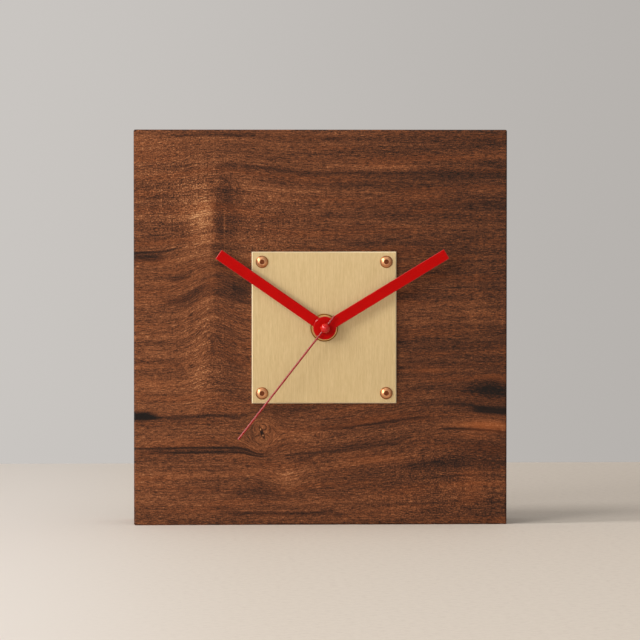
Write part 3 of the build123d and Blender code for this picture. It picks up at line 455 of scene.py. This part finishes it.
def brushed_brass():
    brass = new_finish("brushed_brass")
    x, y, z = brass.place()
    strokes = brass.noise(x / 0.45, y / 2, z / 12, detail=2, rough=0.6)
    scratches = brass.noise(x / 0.22, y / 2, z / 3, detail=2)
    broad = brass.noise(x / 2.5, y / 2, z / 90, detail=2)
    clouds = brass.noise(x / 30, y / 30, z / 30)
    worn = (0.5 + 1.2 * strokes + 1.0 * scratches + 0.3 * broad + 0.3 * clouds).between(0.0, 1.0)
    # The chamfer round the face is painted a paler cream, as a highlight.
    arris_highlight = 1 - brass.facing().between(*BRASS_FACE)
    return brass.surface(
        Base_Color=arris_highlight.mix(worn.mix(BRASS_IN_THE_LINES, BRUSHED_BRASS), BRASS_ARRIS_HIGHLIGHT),
        Metallic=0.5,
        Roughness=0.42 + 0.2 * strokes + 0.1 * clouds,
        Anisotropic=0.8,
        Normal=brass.bump(0.5 + strokes, depth_mm=0.006),
    )


dress(brushed_brass(), "brass_plate")

# Four copper-washed M3 button-head screws with hexagon sockets hold the plate to the wood. Their
# heads are turned and tumbled bright, with fine rings round each screw's own axis. Their rims and
# sockets are painted darker, as shade.
SCREW_COPPER = srgb(234, 172, 124)
SCREW_TARNISH_AND_SHADE = srgb(156, 92, 54)
SCREW_SOCKET_SHADE = srgb(124, 68, 42)
SCREW_RADIUS = 2.8
SCREW_SHADED_RIM = 0.7
SOCKET_EDGE = (1.05, 1.25)


def distance(across, up):
    """How far a point lies from an axis, from its distances to the axis across and up."""
    return (across * across + up * up).power(0.5)


def turned_copper(node):
    low, high = [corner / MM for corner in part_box(node)]
    middle = (low + high) / 2
    reach = (high - low) / 2 - Vector((SCREW_RADIUS, 0, SCREW_RADIUS))
    copper = new_finish("turned_copper")
    x, y, z = copper.place()
    radius = distance(abs(x - middle.x) - reach.x, abs(z - middle.z) - reach.z)
    rings = copper.noise(radius / 0.09, 0.0, y / 0.3)
    stain = copper.noise(x / 1.4, y / 1.4, z / 1.4, detail=3)
    # The socket and the rim of each head are painted darker, as shade; the stain is tarnish.
    socket = 1 - radius.between(*SOCKET_EDGE)
    rim_shade = radius.between(SCREW_RADIUS - SCREW_SHADED_RIM, SCREW_RADIUS)
    worn = (0.2 + 0.8 * stain + 0.5 * rings + 0.6 * rim_shade).between(0.0, 1.0)
    return copper.surface(
        Base_Color=socket.mix(worn.mix(SCREW_COPPER, SCREW_TARNISH_AND_SHADE), SCREW_SOCKET_SHADE),
        Metallic=1.0,
        Roughness=0.34 + 0.2 * stain + 0.1 * socket,
        Normal=copper.bump(0.5 + rings, depth_mm=0.004),
    )


dress(turned_copper("plate_screws"), "plate_screws")

# The threaded bush, the ring nut that clamps the dial side, and the hour hand's collet are turned
# from brass rod, so they carry fine rings round the clock's axis. The ring nut's edge and sides are
# painted dark, as shade.
CAP_LOW, CAP_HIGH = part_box("second_cap")
PIVOT_X = (CAP_LOW.x + CAP_HIGH.x) / 2 / MM
PIVOT_Z = (CAP_LOW.z + CAP_HIGH.z) / 2 / MM
ROD_BRASS = srgb(228, 196, 142)
ROD_BRASS_DULL = srgb(184, 142, 86)
NUT_BRASS = srgb(226, 182, 116)
NUT_EDGE_SHADE = srgb(140, 88, 34)
TURNED_FACE = (0.75, 0.98)
RING_PITCH = 0.11


def turned_metal(name, bright, dull, roughness, edge=None):
    """Turned bar. Where edge is given, its edges and sides are painted that darker colour, as
    shade.
    """
    metal = new_finish(name)
    x, y, z = metal.place()
    radius = distance(x - PIVOT_X, z - PIVOT_Z)
    rings = metal.noise(radius / RING_PITCH, 0.0, y / RING_PITCH)
    stain = metal.noise(x / 3, y / 3, z / 3, detail=3)
    worn = (0.35 + 0.9 * stain + 0.9 * rings).between(0.0, 1.0)
    colour = worn.mix(bright, dull)
    if edge:
        # Edges and sides take the edge colour, as painted shade.
        colour = metal.facing().between(*TURNED_FACE).mix(edge, colour)
    return metal.surface(
        Base_Color=colour,
        Metallic=1.0,
        Roughness=roughness + 0.25 * stain + 0.2 * rings,
        Normal=metal.bump(0.5 + rings, depth_mm=0.01),
    )


turned_brass = turned_metal("turned_brass", ROD_BRASS, ROD_BRASS_DULL, roughness=0.3)
dress(turned_brass, "threaded_bush", "hour_collet")
nut_brass = turned_metal("nut_brass", NUT_BRASS, ROD_BRASS_DULL, roughness=0.34, edge=NUT_EDGE_SHADE)
dress(nut_brass, "ring_nut")

# A rubber washer between the wood and the movement lets the nut pull tight without marking
# either. It is stamped from matt black sheet.
RUBBER = srgb(34, 33, 33)
RUBBER_BLOOM = srgb(58, 56, 54)


def stamped_rubber():
    rubber = new_finish("stamped_rubber")
    x, y, z = rubber.place()
    grit = rubber.noise(x / 0.35, y / 0.35, z / 0.35, detail=3)
    bloom = rubber.noise(x / 5, y / 5, z / 5).between(-0.05, 0.3)
    return rubber.surface(
        Base_Color=bloom.mix(RUBBER, RUBBER_BLOOM),
        Roughness=0.78 + 0.3 * grit,
        Normal=rubber.bump(0.5 + grit, depth_mm=0.03),
    )


dress(stamped_rubber(), "rubber_washer")

# The movement's front case, its back cover and the plate between the wheels are moulded in black
# plastic. The mould is spark-eroded, which leaves a fine matt grain on them.
CASE_BLACK = srgb(38, 39, 41)
CASE_SCUFF = srgb(66, 67, 70)
GRAIN_PITCH = 0.28


def moulded(name, colour, scuffed, roughness, grain=GRAIN_PITCH, depth=0.02):
    plastic = new_finish(name)
    x, y, z = plastic.place()
    grit = plastic.noise(x / grain, y / grain, z / grain, detail=3, rough=0.6)
    flow = plastic.noise(x / 14, y / 14, z / 5, detail=2)
    scuff = plastic.noise(x / 2.5, y / 2.5, z / 0.5, detail=4, rough=0.7).between(0.12, 0.4)
    worn = (0.3 + 0.8 * flow + 0.5 * scuff + 0.5 * grit).between(0.0, 1.2)
    return plastic.surface(
        Base_Color=worn.mix(colour, scuffed),
        Roughness=roughness + 0.3 * grit - 0.1 * scuff,
        Normal=plastic.bump(0.5 + grit, depth),
    )


case_plastic = moulded("case_plastic", CASE_BLACK, CASE_SCUFF, roughness=0.5)
dress(case_plastic, "movement_case", "movement_cover", "train_plate")

# The wheels, tubes and pinions are moulded in white acetal, which runs without oil. It has a
# smooth and slightly waxy skin.
WHEEL_WHITE = srgb(222, 221, 212)
WHEEL_SHADE = srgb(196, 194, 182)

dress(
    moulded("wheel_plastic", WHEEL_WHITE, WHEEL_SHADE, roughness=0.36, grain=0.5, depth=0.008),
    "hour_wheel",
    "minute_tube",
    "cannon_pinion",
    "centre_wheel",
    "minute_wheel",
    "third_wheel",
    "seconds_wheel",
    "intermediate_wheel",
    "rotor_pinion",
    "setting_pinion",
)

# The clutch spring is a star of thin spring steel that lets the hands slip when they are set. The
# seconds arbor is a ground steel needle on the clock's axis.
STEEL = srgb(190, 192, 194)
STEEL_DULL = srgb(138, 140, 144)

ground_steel = turned_metal("ground_steel", STEEL, STEEL_DULL, roughness=0.22)
dress(ground_steel, "clutch_spring", "seconds_arbor")

# The step motor has a two-pole magnet on the rotor, a stator and a coil core stamped from soft
# iron, and a bobbin wound with hair-fine enamelled copper wire.
MAGNET = srgb(84, 84, 88)
MAGNET_SHADE = srgb(50, 50, 54)
IRON = srgb(150, 150, 148)
IRON_SHADE = srgb(104, 104, 102)
BOBBIN = srgb(214, 208, 190)
BOBBIN_SHADE = srgb(186, 178, 158)
ENAMELLED_COPPER = srgb(196, 104, 58)
# The dark colour between the wire's turns is painted shade.
SHADE_BETWEEN_TURNS = srgb(92, 40, 24)
WIRE_PITCH = 0.12


def stamped_sheet(name, bright, dull, roughness):
    sheet = new_finish(name)
    x, y, z = sheet.place()
    rolled = sheet.noise(x / 0.2, y / 0.2, z / 8, detail=3)
    stain = sheet.noise(x / 3, y / 3, z / 3, detail=4, rough=0.65)
    worn = (0.4 + 1.0 * stain + 0.8 * rolled).between(0.0, 1.0)
    return sheet.surface(
        Base_Color=worn.mix(bright, dull),
        Metallic=1.0,
        Roughness=roughness + 0.3 * rolled + 0.2 * stain,
        Normal=sheet.bump(0.5 + rolled, depth_mm=0.006),
    )


def wound_copper():
    coil = new_finish("wound_copper")
    x, y, z = coil.place()
    turns = 2 * (z / WIRE_PITCH + 0.6 * coil.noise(x / 3, y / 3, z / 2)).fold(0.5)
    layer = coil.noise(x / 2, y / 2, z / 0.4, detail=2)
    # The wire is painted darker between its turns, as shade in the grooves.
    shine = (turns + 0.8 * layer).between(0.0, 0.9)
    return coil.surface(
        Base_Color=shine.mix(SHADE_BETWEEN_TURNS, ENAMELLED_COPPER),
        Metallic=0.8,
        Roughness=0.3 + 0.3 * layer,
        Normal=coil.bump(turns, depth_mm=0.03),
    )


dress(stamped_sheet("sintered_magnet", MAGNET, MAGNET_SHADE, roughness=0.4), "rotor_magnet")
dress(stamped_sheet("soft_iron", IRON, IRON_SHADE, roughness=0.34), "stator", "coil_core")
bobbin_plastic = moulded(
    "bobbin_plastic", BOBBIN, BOBBIN_SHADE, roughness=0.4, grain=0.5, depth=0.01
)
dress(bobbin_plastic, "coil_bobbin")
dress(wound_copper(), "coil_winding")

# The circuit board is glass-fibre sheet with a green mask over its copper tracks. It carries the
# chip under a drop of black resin, and the quartz crystal in its tinned can.
MASK_GREEN = srgb(30, 92, 58)
MASK_OVER_COPPER = srgb(62, 128, 74)
RESIN = srgb(24, 24, 26)
RESIN_SHEEN = srgb(44, 44, 48)
TIN = srgb(202, 204, 206)
TIN_DULL = srgb(150, 152, 156)
TRACK_PITCH = 1.6
TRACK_EDGE = (0.12, 0.2)


def masked_board():
    board = new_finish("masked_board")
    x, y, z = board.place()
    wander = board.noise(x / 9, y / 9, z / 9, detail=0)
    track = (z / TRACK_PITCH + 1.4 * wander).fold(0.5)
    copper = 1 - track.between(*TRACK_EDGE)
    glass = board.noise(x / 0.25, y / 0.25, z / 0.25, detail=2)
    raised = (copper * 0.8 + 0.3 * glass).between(0.0, 1.0)
    return board.surface(
        Base_Color=raised.mix(MASK_GREEN, MASK_OVER_COPPER),
        Roughness=0.3 + 0.3 * glass,
        Normal=board.bump(copper * 0.7 + 0.3 * glass, depth_mm=0.03),
    )


dress(masked_board(), "circuit_board")
dress(moulded("black_resin", RESIN, RESIN_SHEEN, roughness=0.2, grain=1.2), "chip_cover")
dress(stamped_sheet("tinned_can", TIN, TIN_DULL, roughness=0.22), "quartz_crystal")

# The battery's contacts are bent from nickel-plated spring bronze. The cell is a steel can in a
# printed sleeve, crimped over at both ends, with a nickel button at its positive end.
NICKEL = srgb(206, 200, 186)
NICKEL_DULL = srgb(158, 150, 136)
SLEEVE_GREY = srgb(86, 92, 100)
SLEEVE_SHADE = srgb(66, 71, 78)
SLEEVE_BAND = srgb(196, 198, 198)
# The pale band's two edges, as shares of the cell's length, and the bare metal's edge on its ends.
BAND_STARTS = (0.735, 0.74)
BAND_STOPS = (0.945, 0.95)
BARE_END_EDGE = (5.1, 5.4)

contact_nickel = stamped_sheet("contact_nickel", NICKEL, NICKEL_DULL, roughness=0.24)
dress(contact_nickel, "positive_contact", "negative_contact", "battery_nub")


def printed_sleeve(cell_low, cell_high):
    sleeve = new_finish("printed_sleeve")
    x, y, z = sleeve.place()
    middle = (cell_low + cell_high) / 2
    radius = distance(y - middle.y, z - middle.z)
    along = (x - cell_low.x) / (cell_high.x - cell_low.x)
    grain = sleeve.noise(x / 0.3, y / 0.3, z / 0.3, detail=2)
    stretch = sleeve.noise(x / 12, y / 1.5, z / 1.5, detail=2)
    band = along.between(*BAND_STARTS) * (1 - along.between(*BAND_STOPS))
    shade = (0.5 + 1.0 * stretch + 0.3 * grain).between(0.0, 1.0)
    body = shade.mix(SLEEVE_GREY, SLEEVE_SHADE)
    ends = 1 - radius.between(*BARE_END_EDGE)
    return sleeve.surface(
        Base_Color=ends.mix(band.mix(body, SLEEVE_BAND), NICKEL),
        Metallic=ends,
        Roughness=0.28 + 0.25 * stretch,
        Normal=sleeve.bump(0.5 + 0.5 * stretch + 0.3 * grain, depth_mm=0.02),
    )


def turned_mesh(name, profile, axis_start, axis, steps=96, cut=None):
    """A mesh turned round an axis, from (distance along it, radius) points from end to end.
    Where cut is given, it says how far a ring is cut back at each turn."""
    axis = axis.normalized()
    side = axis.orthogonal().normalized()
    other = axis.cross(side)
    shape = bmesh.new()
    rings = []
    for along, radius in profile:
        middle = axis_start + axis * along
        if radius == 0:
            rings.append([shape.verts.new(middle)])
            continue
        turns = [math.tau * step / steps for step in range(steps)]
        reaches = [radius - cut(radius, turn) if cut else radius for turn in turns]
        spokes = [side * math.cos(turn) + other * math.sin(turn) for turn in turns]
        places = [middle + spoke * reach for spoke, reach in zip(spokes, reaches)]
        rings.append([shape.verts.new(place) for place in places])
    for first, second in zip(rings, rings[1:]):
        for step in range(steps):
            corners = [
                first[step % len(first)],
                first[(step + 1) % len(first)],
                second[(step + 1) % len(second)],
                second[step % len(second)],
            ]
            shape.faces.new(list(dict.fromkeys(corners)))
    return close_mesh(name, shape)


def close_mesh(name, shape, sharp_angle=math.radians(35)):
    """Turns a bmesh into a mesh with outward normals, smooth but for its sharp edges."""
    bmesh.ops.recalc_face_normals(shape, faces=shape.faces)
    mesh = bpy.data.meshes.new(name)
    shape.to_mesh(mesh)
    shape.free()
    mesh.shade_smooth()
    mesh.set_sharp_from_angle(angle=sharp_angle)
    return mesh


def body_of(node):
    return frame["nodes"][node]["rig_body"]


def fit(name, mesh, finish, body):
    """Puts a piece made here in place, to move with a body and take a slot's finish."""
    piece = bpy.data.objects.new(name, mesh)
    bpy.context.scene.collection.objects.link(piece)
    piece.data.materials.append(finish)
    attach(piece, body)
    return piece


CRIMP_RADIUS = 5.3
CRIMP_LIP = 0.5
CRIMP_ROUND = 0.9
QUARTER_TURN = [math.radians(angle) for angle in range(0, 91, 15)]
FLAT_END_SUNK = 0.35
BUTTON_END_SUNK = 0.3


def sleeved_cell():
    low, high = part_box("battery_can")
    middle = (low + high) / 2
    length = (high.x - low.x) / MM
    radius = (high.z - low.z) / 2 / MM
    inside = CRIMP_RADIUS - CRIMP_LIP
    rolled = [
        (CRIMP_ROUND * (1 - math.sin(angle)), radius - CRIMP_ROUND * (1 - math.cos(angle)))
        for angle in QUARTER_TURN
    ]
    profile = [(FLAT_END_SUNK, 0.0), (FLAT_END_SUNK, inside), (0.0, CRIMP_RADIUS)]
    profile += rolled[::-1]
    profile += [(length - along, out) for along, out in rolled]
    sunk = length - BUTTON_END_SUNK
    profile += [(length, CRIMP_RADIUS), (sunk, inside), (sunk, 0.0)]
    start = Vector((low.x, middle.y, middle.z))
    metres = [(along * MM, out * MM) for along, out in profile]
    mesh = turned_mesh("sleeved_cell", metres, start, Vector((1, 0, 0)))
    finish = printed_sleeve(low / MM, high / MM)
    return fit("sleeved_cell", mesh, finish, body_of("battery_can"))


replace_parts(sleeved_cell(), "battery_can")

# The setting knob is moulded in a dark grey plastic, with round flutes for the fingers and a
# dished face. It is pressed on the setting shaft.
KNOB_GREY = srgb(58, 59, 62)
KNOB_WORN = srgb(104, 105, 108)
KNOB_WORN_FROM = 4.9
KNOB_DISH = (4.8, 5.1)
KNOB_DISH_DEPTH = 0.35
KNOB_CHAMFER = 0.35
KNOB_FLUTES = 24
KNOB_FLUTE_RADIUS = 0.5
STEPS_PER_FLUTE = 12
KNOB_WEB = 0.6
SHAFT_RADIUS = 1.2


def rubbed_plastic(middle, radius_of_knob):
    knob = new_finish("knob_plastic")
    x, y, z = knob.place()
    rubbed = distance(x - middle.x, z - middle.z).between(KNOB_WORN_FROM, radius_of_knob)
    grit = knob.noise(x / GRAIN_PITCH, y / GRAIN_PITCH, z / GRAIN_PITCH, detail=3)
    worn = (0.2 + 0.6 * grit + 0.7 * rubbed).between(0.0, 1.0)
    return knob.surface(
        Base_Color=worn.mix(KNOB_GREY, KNOB_WORN),
        Roughness=0.4 + 0.3 * grit,
        Normal=knob.bump(0.5 + grit, depth_mm=0.02),
    )


def fluted_knob():
    low, high = [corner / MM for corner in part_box("setting_knob")]
    middle = (low + high) / 2
    radius, thickness = (high.z - low.z) / 2, high.y - low.y
    pitch = math.tau / KNOB_FLUTES

    def flute(ring, turn):
        away = abs((turn / pitch + 0.5) % 1 - 0.5) * pitch * radius
        deep = math.sqrt(max(0.0, KNOB_FLUTE_RADIUS**2 - away**2))
        return max(0.0, deep - (radius - ring / MM)) * MM

    profile = [(KNOB_DISH_DEPTH, 0.0), (KNOB_DISH_DEPTH, KNOB_DISH[0]), (0.0, KNOB_DISH[1])]
    profile += [(0.0, radius - KNOB_CHAMFER), (KNOB_CHAMFER, radius), (thickness, radius)]
    profile += [(thickness, SHAFT_RADIUS), (KNOB_WEB, SHAFT_RADIUS), (KNOB_WEB, 0.0)]
    metres = [(along * MM, out * MM) for along, out in profile]
    outer_face = Vector((middle.x, high.y, middle.z)) * MM
    inward = Vector((0, -1, 0))
    steps = STEPS_PER_FLUTE * KNOB_FLUTES
    mesh = turned_mesh("fluted_knob", metres, outer_face, inward, steps, flute)
    finish = rubbed_plastic(middle, radius)
    return fit("fluted_knob", mesh, finish, body_of("setting_knob"))


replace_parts(fluted_knob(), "setting_knob")

# Marks stand up a little from the movement's back. They show which way round the cell lies, and
# that the knob turns both ways. They are moulded with the cover, and rubbed paler than it.
MARK_RISE = 0.25
MARK_SUNK = 0.05
MARK_GREY = srgb(92, 93, 96)
MARK_RUBBED = srgb(124, 125, 128)
MARK_STROKE = 0.45
CELL_MARK_REACH = 1.6
PLUS_AT = (23.5, 82.2)
MINUS_AT = (-2.0, 82.2)
ARROW_RADIUS = 10.0
ARROW_SPAN = 50.0
ARROW_HEAD = (1.2, 14.0)
ARROW_STEPS = 12


def plus_outline(x, z):
    near, far = MARK_STROKE, CELL_MARK_REACH
    steps = [(near, far), (near, near), (far, near), (far, -near), (near, -near), (near, -far)]
    steps += [(-right, -up) for right, up in steps]
    return [(x + right, z + up) for right, up in steps]


def minus_outline(x, z):
    corners = [(1, 1), (1, -1), (-1, -1), (-1, 1)]
    return [(x + CELL_MARK_REACH * right, z + MARK_STROKE * up) for right, up in corners]


def arrow_outline(x, z):
    """An arc over the knob with a point at each end. Its angles run from the top, in degrees."""
    half_head, head_angle = ARROW_HEAD
    bend = [ARROW_SPAN * (step / ARROW_STEPS - 1) for step in range(2 * ARROW_STEPS + 1)]
    outer = [(ARROW_RADIUS + MARK_STROKE, angle) for angle in bend]
    inner = [(ARROW_RADIUS - MARK_STROKE, angle) for angle in reversed(bend)]
    heads = []
    for side in (1, -1):
        root, tip = side * ARROW_SPAN, side * (ARROW_SPAN + head_angle)
        wings = [(ARROW_RADIUS + half_head, root), (ARROW_RADIUS - half_head, root)]
        heads.append([wings[0], (ARROW_RADIUS, tip), wings[1]][::side])
    outline = outer + heads[0] + inner + heads[1]
    turns = [(radius, math.radians(angle)) for radius, angle in outline]
    return [(x + radius * math.sin(turn), z + radius * math.cos(turn)) for radius, turn in turns]


def raised_marks():
    cover_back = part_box("movement_cover")[1].y / MM
    knob_low, knob_high = [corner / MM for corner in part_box("setting_knob")]
    knob = (knob_low + knob_high) / 2
    shape = bmesh.new()
    outlines = [plus_outline(*PLUS_AT), minus_outline(*MINUS_AT), arrow_outline(knob.x, knob.z)]
    for outline in outlines:
        levels = [
            [shape.verts.new(Vector((x, y, z)) * MM) for x, z in outline]
            for y in (cover_back - MARK_SUNK, cover_back + MARK_RISE)
        ]
        for level in levels:
            shape.faces.new(level)
        for i in range(len(outline)):
            shape.faces.new([levels[0][i - 1], levels[0][i], levels[1][i], levels[1][i - 1]])
    mesh = close_mesh("cover_marks", shape)
    finish = moulded("mark_plastic", MARK_GREY, MARK_RUBBED, roughness=0.4)
    return fit("cover_marks", mesh, finish, body_of("movement_cover"))


raised_marks()

# The hour and minute hands are stamped from 1 mm aluminium and sprayed with satin red lacquer, the
# minute hand together with its brass collet. The cap in the middle is dipped in a glossier red.
LACQUER_RED = srgb(180, 3, 1)
LACQUER_DEEP = srgb(168, 2, 1)
CAP_RED = srgb(196, 8, 4)
CAP_RED_DEEP = srgb(186, 6, 3)
PEEL_PITCH = 0.7
DUST_PITCH = 0.18
COAT_FACE = (0.8, 0.97)


def red_lacquer(name, bright, deep, roughness, peel_depth, shine, bead=0.0):
    """Red lacquer. A bead of clear coat stands on its edges, as strong as bead says."""
    red = new_finish(name)
    x, y, z = red.place()
    peel = red.noise(x / PEEL_PITCH, y / PEEL_PITCH, z / PEEL_PITCH, detail=2)
    dust = red.noise(x / DUST_PITCH, y / DUST_PITCH, z / DUST_PITCH, detail=2)
    cloud = red.noise(x / 9, y / 9, z / 9)
    worn = (0.4 + 1.2 * cloud + 0.4 * dust).between(0.0, 1.0)
    return red.surface(
        Base_Color=worn.mix(bright, deep),
        Roughness=roughness + 0.1 * dust,
        Specular_IOR_Level=shine,
        Coat_Weight=bead * (1 - red.facing().between(*COAT_FACE)),
        Coat_Roughness=0.18,
        Normal=red.bump(0.5 + peel + 0.15 * dust, peel_depth),
    )


satin_red = red_lacquer(
    "satin_red", LACQUER_RED, LACQUER_DEEP, roughness=0.42, peel_depth=0.01, shine=0.06, bead=1.0
)
dress(satin_red, "hour_hand", "minute_hand", "minute_collet")
glossy_red = red_lacquer(
    "glossy_red", CAP_RED, CAP_RED_DEEP, roughness=0.14, peel_depth=0.004, shine=0.5
)
dress(glossy_red, "second_cap")

# The second hand is drawn from thin strip, rolled to a ridge along its middle so that it stays
# straight, and lacquered red.
NEEDLE_ANGLE = 218.0
NEEDLE_WIDTH = 0.9
NEEDLE_TAIL = 7.0
NEEDLE_POINT = 0.5
NEEDLE_TIP_SHARE = 0.55
NEEDLE_EDGE = 0.17
NEEDLE_SHARP_ANGLE = math.radians(20)
NEEDLE_PAINT = srgb(150, 14, 6)
NEEDLE_PAINT_DEEP = srgb(134, 9, 4)


def ridged_needle():
    low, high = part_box("second_hand")
    pivot = Vector((PIVOT_X * MM, 0, PIVOT_Z * MM))
    turn = math.radians(NEEDLE_ANGLE)
    along = Vector((math.sin(turn), 0, math.cos(turn)))
    across = Vector((along.z, 0, -along.x))
    half_width = NEEDLE_WIDTH / 2 * MM
    reach = (pivot.x - low.x - half_width * abs(across.x)) / abs(along.x)
    back, front = high.y, low.y
    edge = back - NEEDLE_EDGE * MM
    shape = bmesh.new()
    sections = []
    tail, shoulder = -NEEDLE_TAIL * MM, reach - NEEDLE_POINT * MM
    for place, share in ((tail, 1.0), (shoulder, 1.0), (reach, NEEDLE_TIP_SHARE)):
        middle = pivot + along * place
        half = across * half_width * share
        points = [(-half, back), (half, back), (half, edge), (Vector(), front), (-half, edge)]
        sections.append([shape.verts.new(Vector((0, y, 0)) + middle + out) for out, y in points])
    for first, second in zip(sections, sections[1:]):
        for i in range(len(first)):
            after = (i + 1) % len(first)
            shape.faces.new([first[i], first[after], second[after], second[i]])
    shape.faces.new(sections[0])
    shape.faces.new(sections[-1])
    mesh = close_mesh("ridged_needle", shape, NEEDLE_SHARP_ANGLE)
    finish = red_lacquer(
        "needle_red", NEEDLE_PAINT, NEEDLE_PAINT_DEEP, roughness=0.2, peel_depth=0.002, shine=0.19
    )
    return fit("ridged_needle", mesh, finish, body_of("second_hand"))


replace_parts(ridged_needle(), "second_hand")

# The clock stands on a plain pale table before a plain pale wall. The table ends behind the clock,
# and the wall is the world's own colour. The table's left side is painted paler, as window light.
# The table's sizes are in metres.
TABLE_BACK = 0.416
TABLE_FRONT = -2.0
TABLE_HALF = 0.6
TABLE_THICKNESS = 0.03
TABLE_COLOUR = srgb(219, 208, 196)
TABLE_FLECK = srgb(208, 196, 184)
TABLE_PAINTED_WINDOW_LIGHT = srgb(224, 216, 209)
PAINTED_WINDOW_LIGHT_FADES = (-150.0, -20.0)


def table_top():
    shape = bmesh.new()
    bmesh.ops.create_cube(shape, size=1.0)
    size = Vector((2 * TABLE_HALF, TABLE_BACK - TABLE_FRONT, TABLE_THICKNESS))
    middle = Vector((0, (TABLE_BACK + TABLE_FRONT) / 2, -TABLE_THICKNESS / 2))
    for corner in shape.verts:
        corner.co = middle + corner.co * size
    mesh = close_mesh("table_top", shape)
    stone = new_finish("table_stone")
    x, y, z = stone.place()
    fleck = stone.noise(x / 3, y / 3, z / 3, detail=4, rough=0.65).between(-0.1, 0.3)
    # Painted light: the table is paler towards the left, where the window lamp is.
    painted_window_light = 1 - x.between(*PAINTED_WINDOW_LIGHT_FADES)
    colour = painted_window_light.mix(fleck.mix(TABLE_COLOUR, TABLE_FLECK), TABLE_PAINTED_WINDOW_LIGHT)
    mesh.materials.append(stone.surface(Base_Color=colour, Roughness=0.75))
    piece = bpy.data.objects.new("table_top", mesh)
    bpy.context.scene.collection.objects.link(piece)


table_top()

# The studio has a big soft lamp at the left in front, a wide weak one behind the camera, one
# overhead, a small one high at the left that catches the edges, and the room's own even light. The
# camera, and bright metal, see the room as the pale wall.
ROOM_LIGHT = 0.36
ROOM_COLOUR = (1.0, 0.965, 0.915, 1.0)
LAMP_COLOUR = (1.0, 0.98, 0.95)
WALL_LEFT = srgb(202, 198, 194)
WALL_RIGHT = srgb(182, 178, 174)
WALL_FADES = (-0.06, 0.14)


def studio_world():
    world = bpy.data.worlds.new("studio")
    bpy.context.scene.world = world
    room = Nodes(world)
    towards = room.add("TexCoord", output=0)
    sideways = room.add("SeparateXYZ", {}, {0: towards})
    wall = sideways.between(*WALL_FADES).mix(WALL_LEFT, WALL_RIGHT)
    rays = ("Is Camera Ray", "Is Glossy Ray", "Is Transmission Ray")
    seen = [room.add("LightPath", output=ray) for ray in rays]
    direct = seen[0].most(seen[1]).most(seen[2])
    lit = room.add("Background", {}, {"Color": ROOM_COLOUR, "Strength": ROOM_LIGHT})
    shown = room.add("Background", {}, {"Color": wall, "Strength": 1.0})
    both = room.add("MixShader", {}, {0: direct, 1: lit, 2: shown})
    room.add("OutputWorld", {}, {0: both})


def soft_lamp(name, place, aim, size, power):
    """A lamp that the camera doesn't see. Lengths are in metres and its power is in watts."""
    lamp = bpy.data.lights.new(name, "AREA")
    lamp.shape = "RECTANGLE"
    lamp.size, lamp.size_y = size
    lamp.energy = power
    lamp.color = LAMP_COLOUR
    holder = bpy.data.objects.new(name, lamp)
    bpy.context.scene.collection.objects.link(holder)
    holder.visible_camera = False
    holder.location = place
    holder.rotation_mode = "QUATERNION"
    holder.rotation_quaternion = (Vector(aim) - Vector(place)).to_track_quat("-Z", "Y")


studio_world()
soft_lamp("window_lamp", (-1.5, -1.6, 0.7), aim=(0, 0, 0.08), size=(1.0, 1.0), power=32.0)
soft_lamp("front_lamp", (0.35, -2.7, 0.7), aim=(0, 0, 0.09), size=(2.0, 1.6), power=7.0)
soft_lamp("overhead_lamp", (0.0, -0.1, 1.7), aim=(0, 0, 0), size=(1.6, 1.6), power=4.0)
soft_lamp("edge_lamp", (-1.2, -0.32, 1.1), aim=(0, 0, 0.09), size=(0.35, 0.45), power=11.0)

# The camera stands 1.9 m in front of the clock, a little to its left and level with its upper half.
# Its long lens keeps the block's edges nearly parallel.
CAMERA_PLACE = (-0.080, -1.900, 0.150)
CAMERA_TURN = math.radians(2.427)
CAMERA_PITCH = math.radians(-1.723)
CAMERA_LENS = 232.59
CAMERA_SENSOR = 36.0
CAMERA_CLIP = (0.05, 50.0)


def photograph_camera():
    lens = bpy.data.cameras.new("photograph_camera")
    lens.sensor_width = CAMERA_SENSOR
    lens.lens = CAMERA_LENS
    lens.clip_start, lens.clip_end = CAMERA_CLIP
    camera = bpy.data.objects.new("photograph_camera", lens)
    bpy.context.scene.collection.objects.link(camera)
    camera.location = CAMERA_PLACE
    camera.rotation_euler = (math.pi / 2 + CAMERA_PITCH, 0.0, -CAMERA_TURN)
    bpy.context.scene.camera = camera


photograph_camera()
bpy.context.scene.view_settings.view_transform = "Standard"
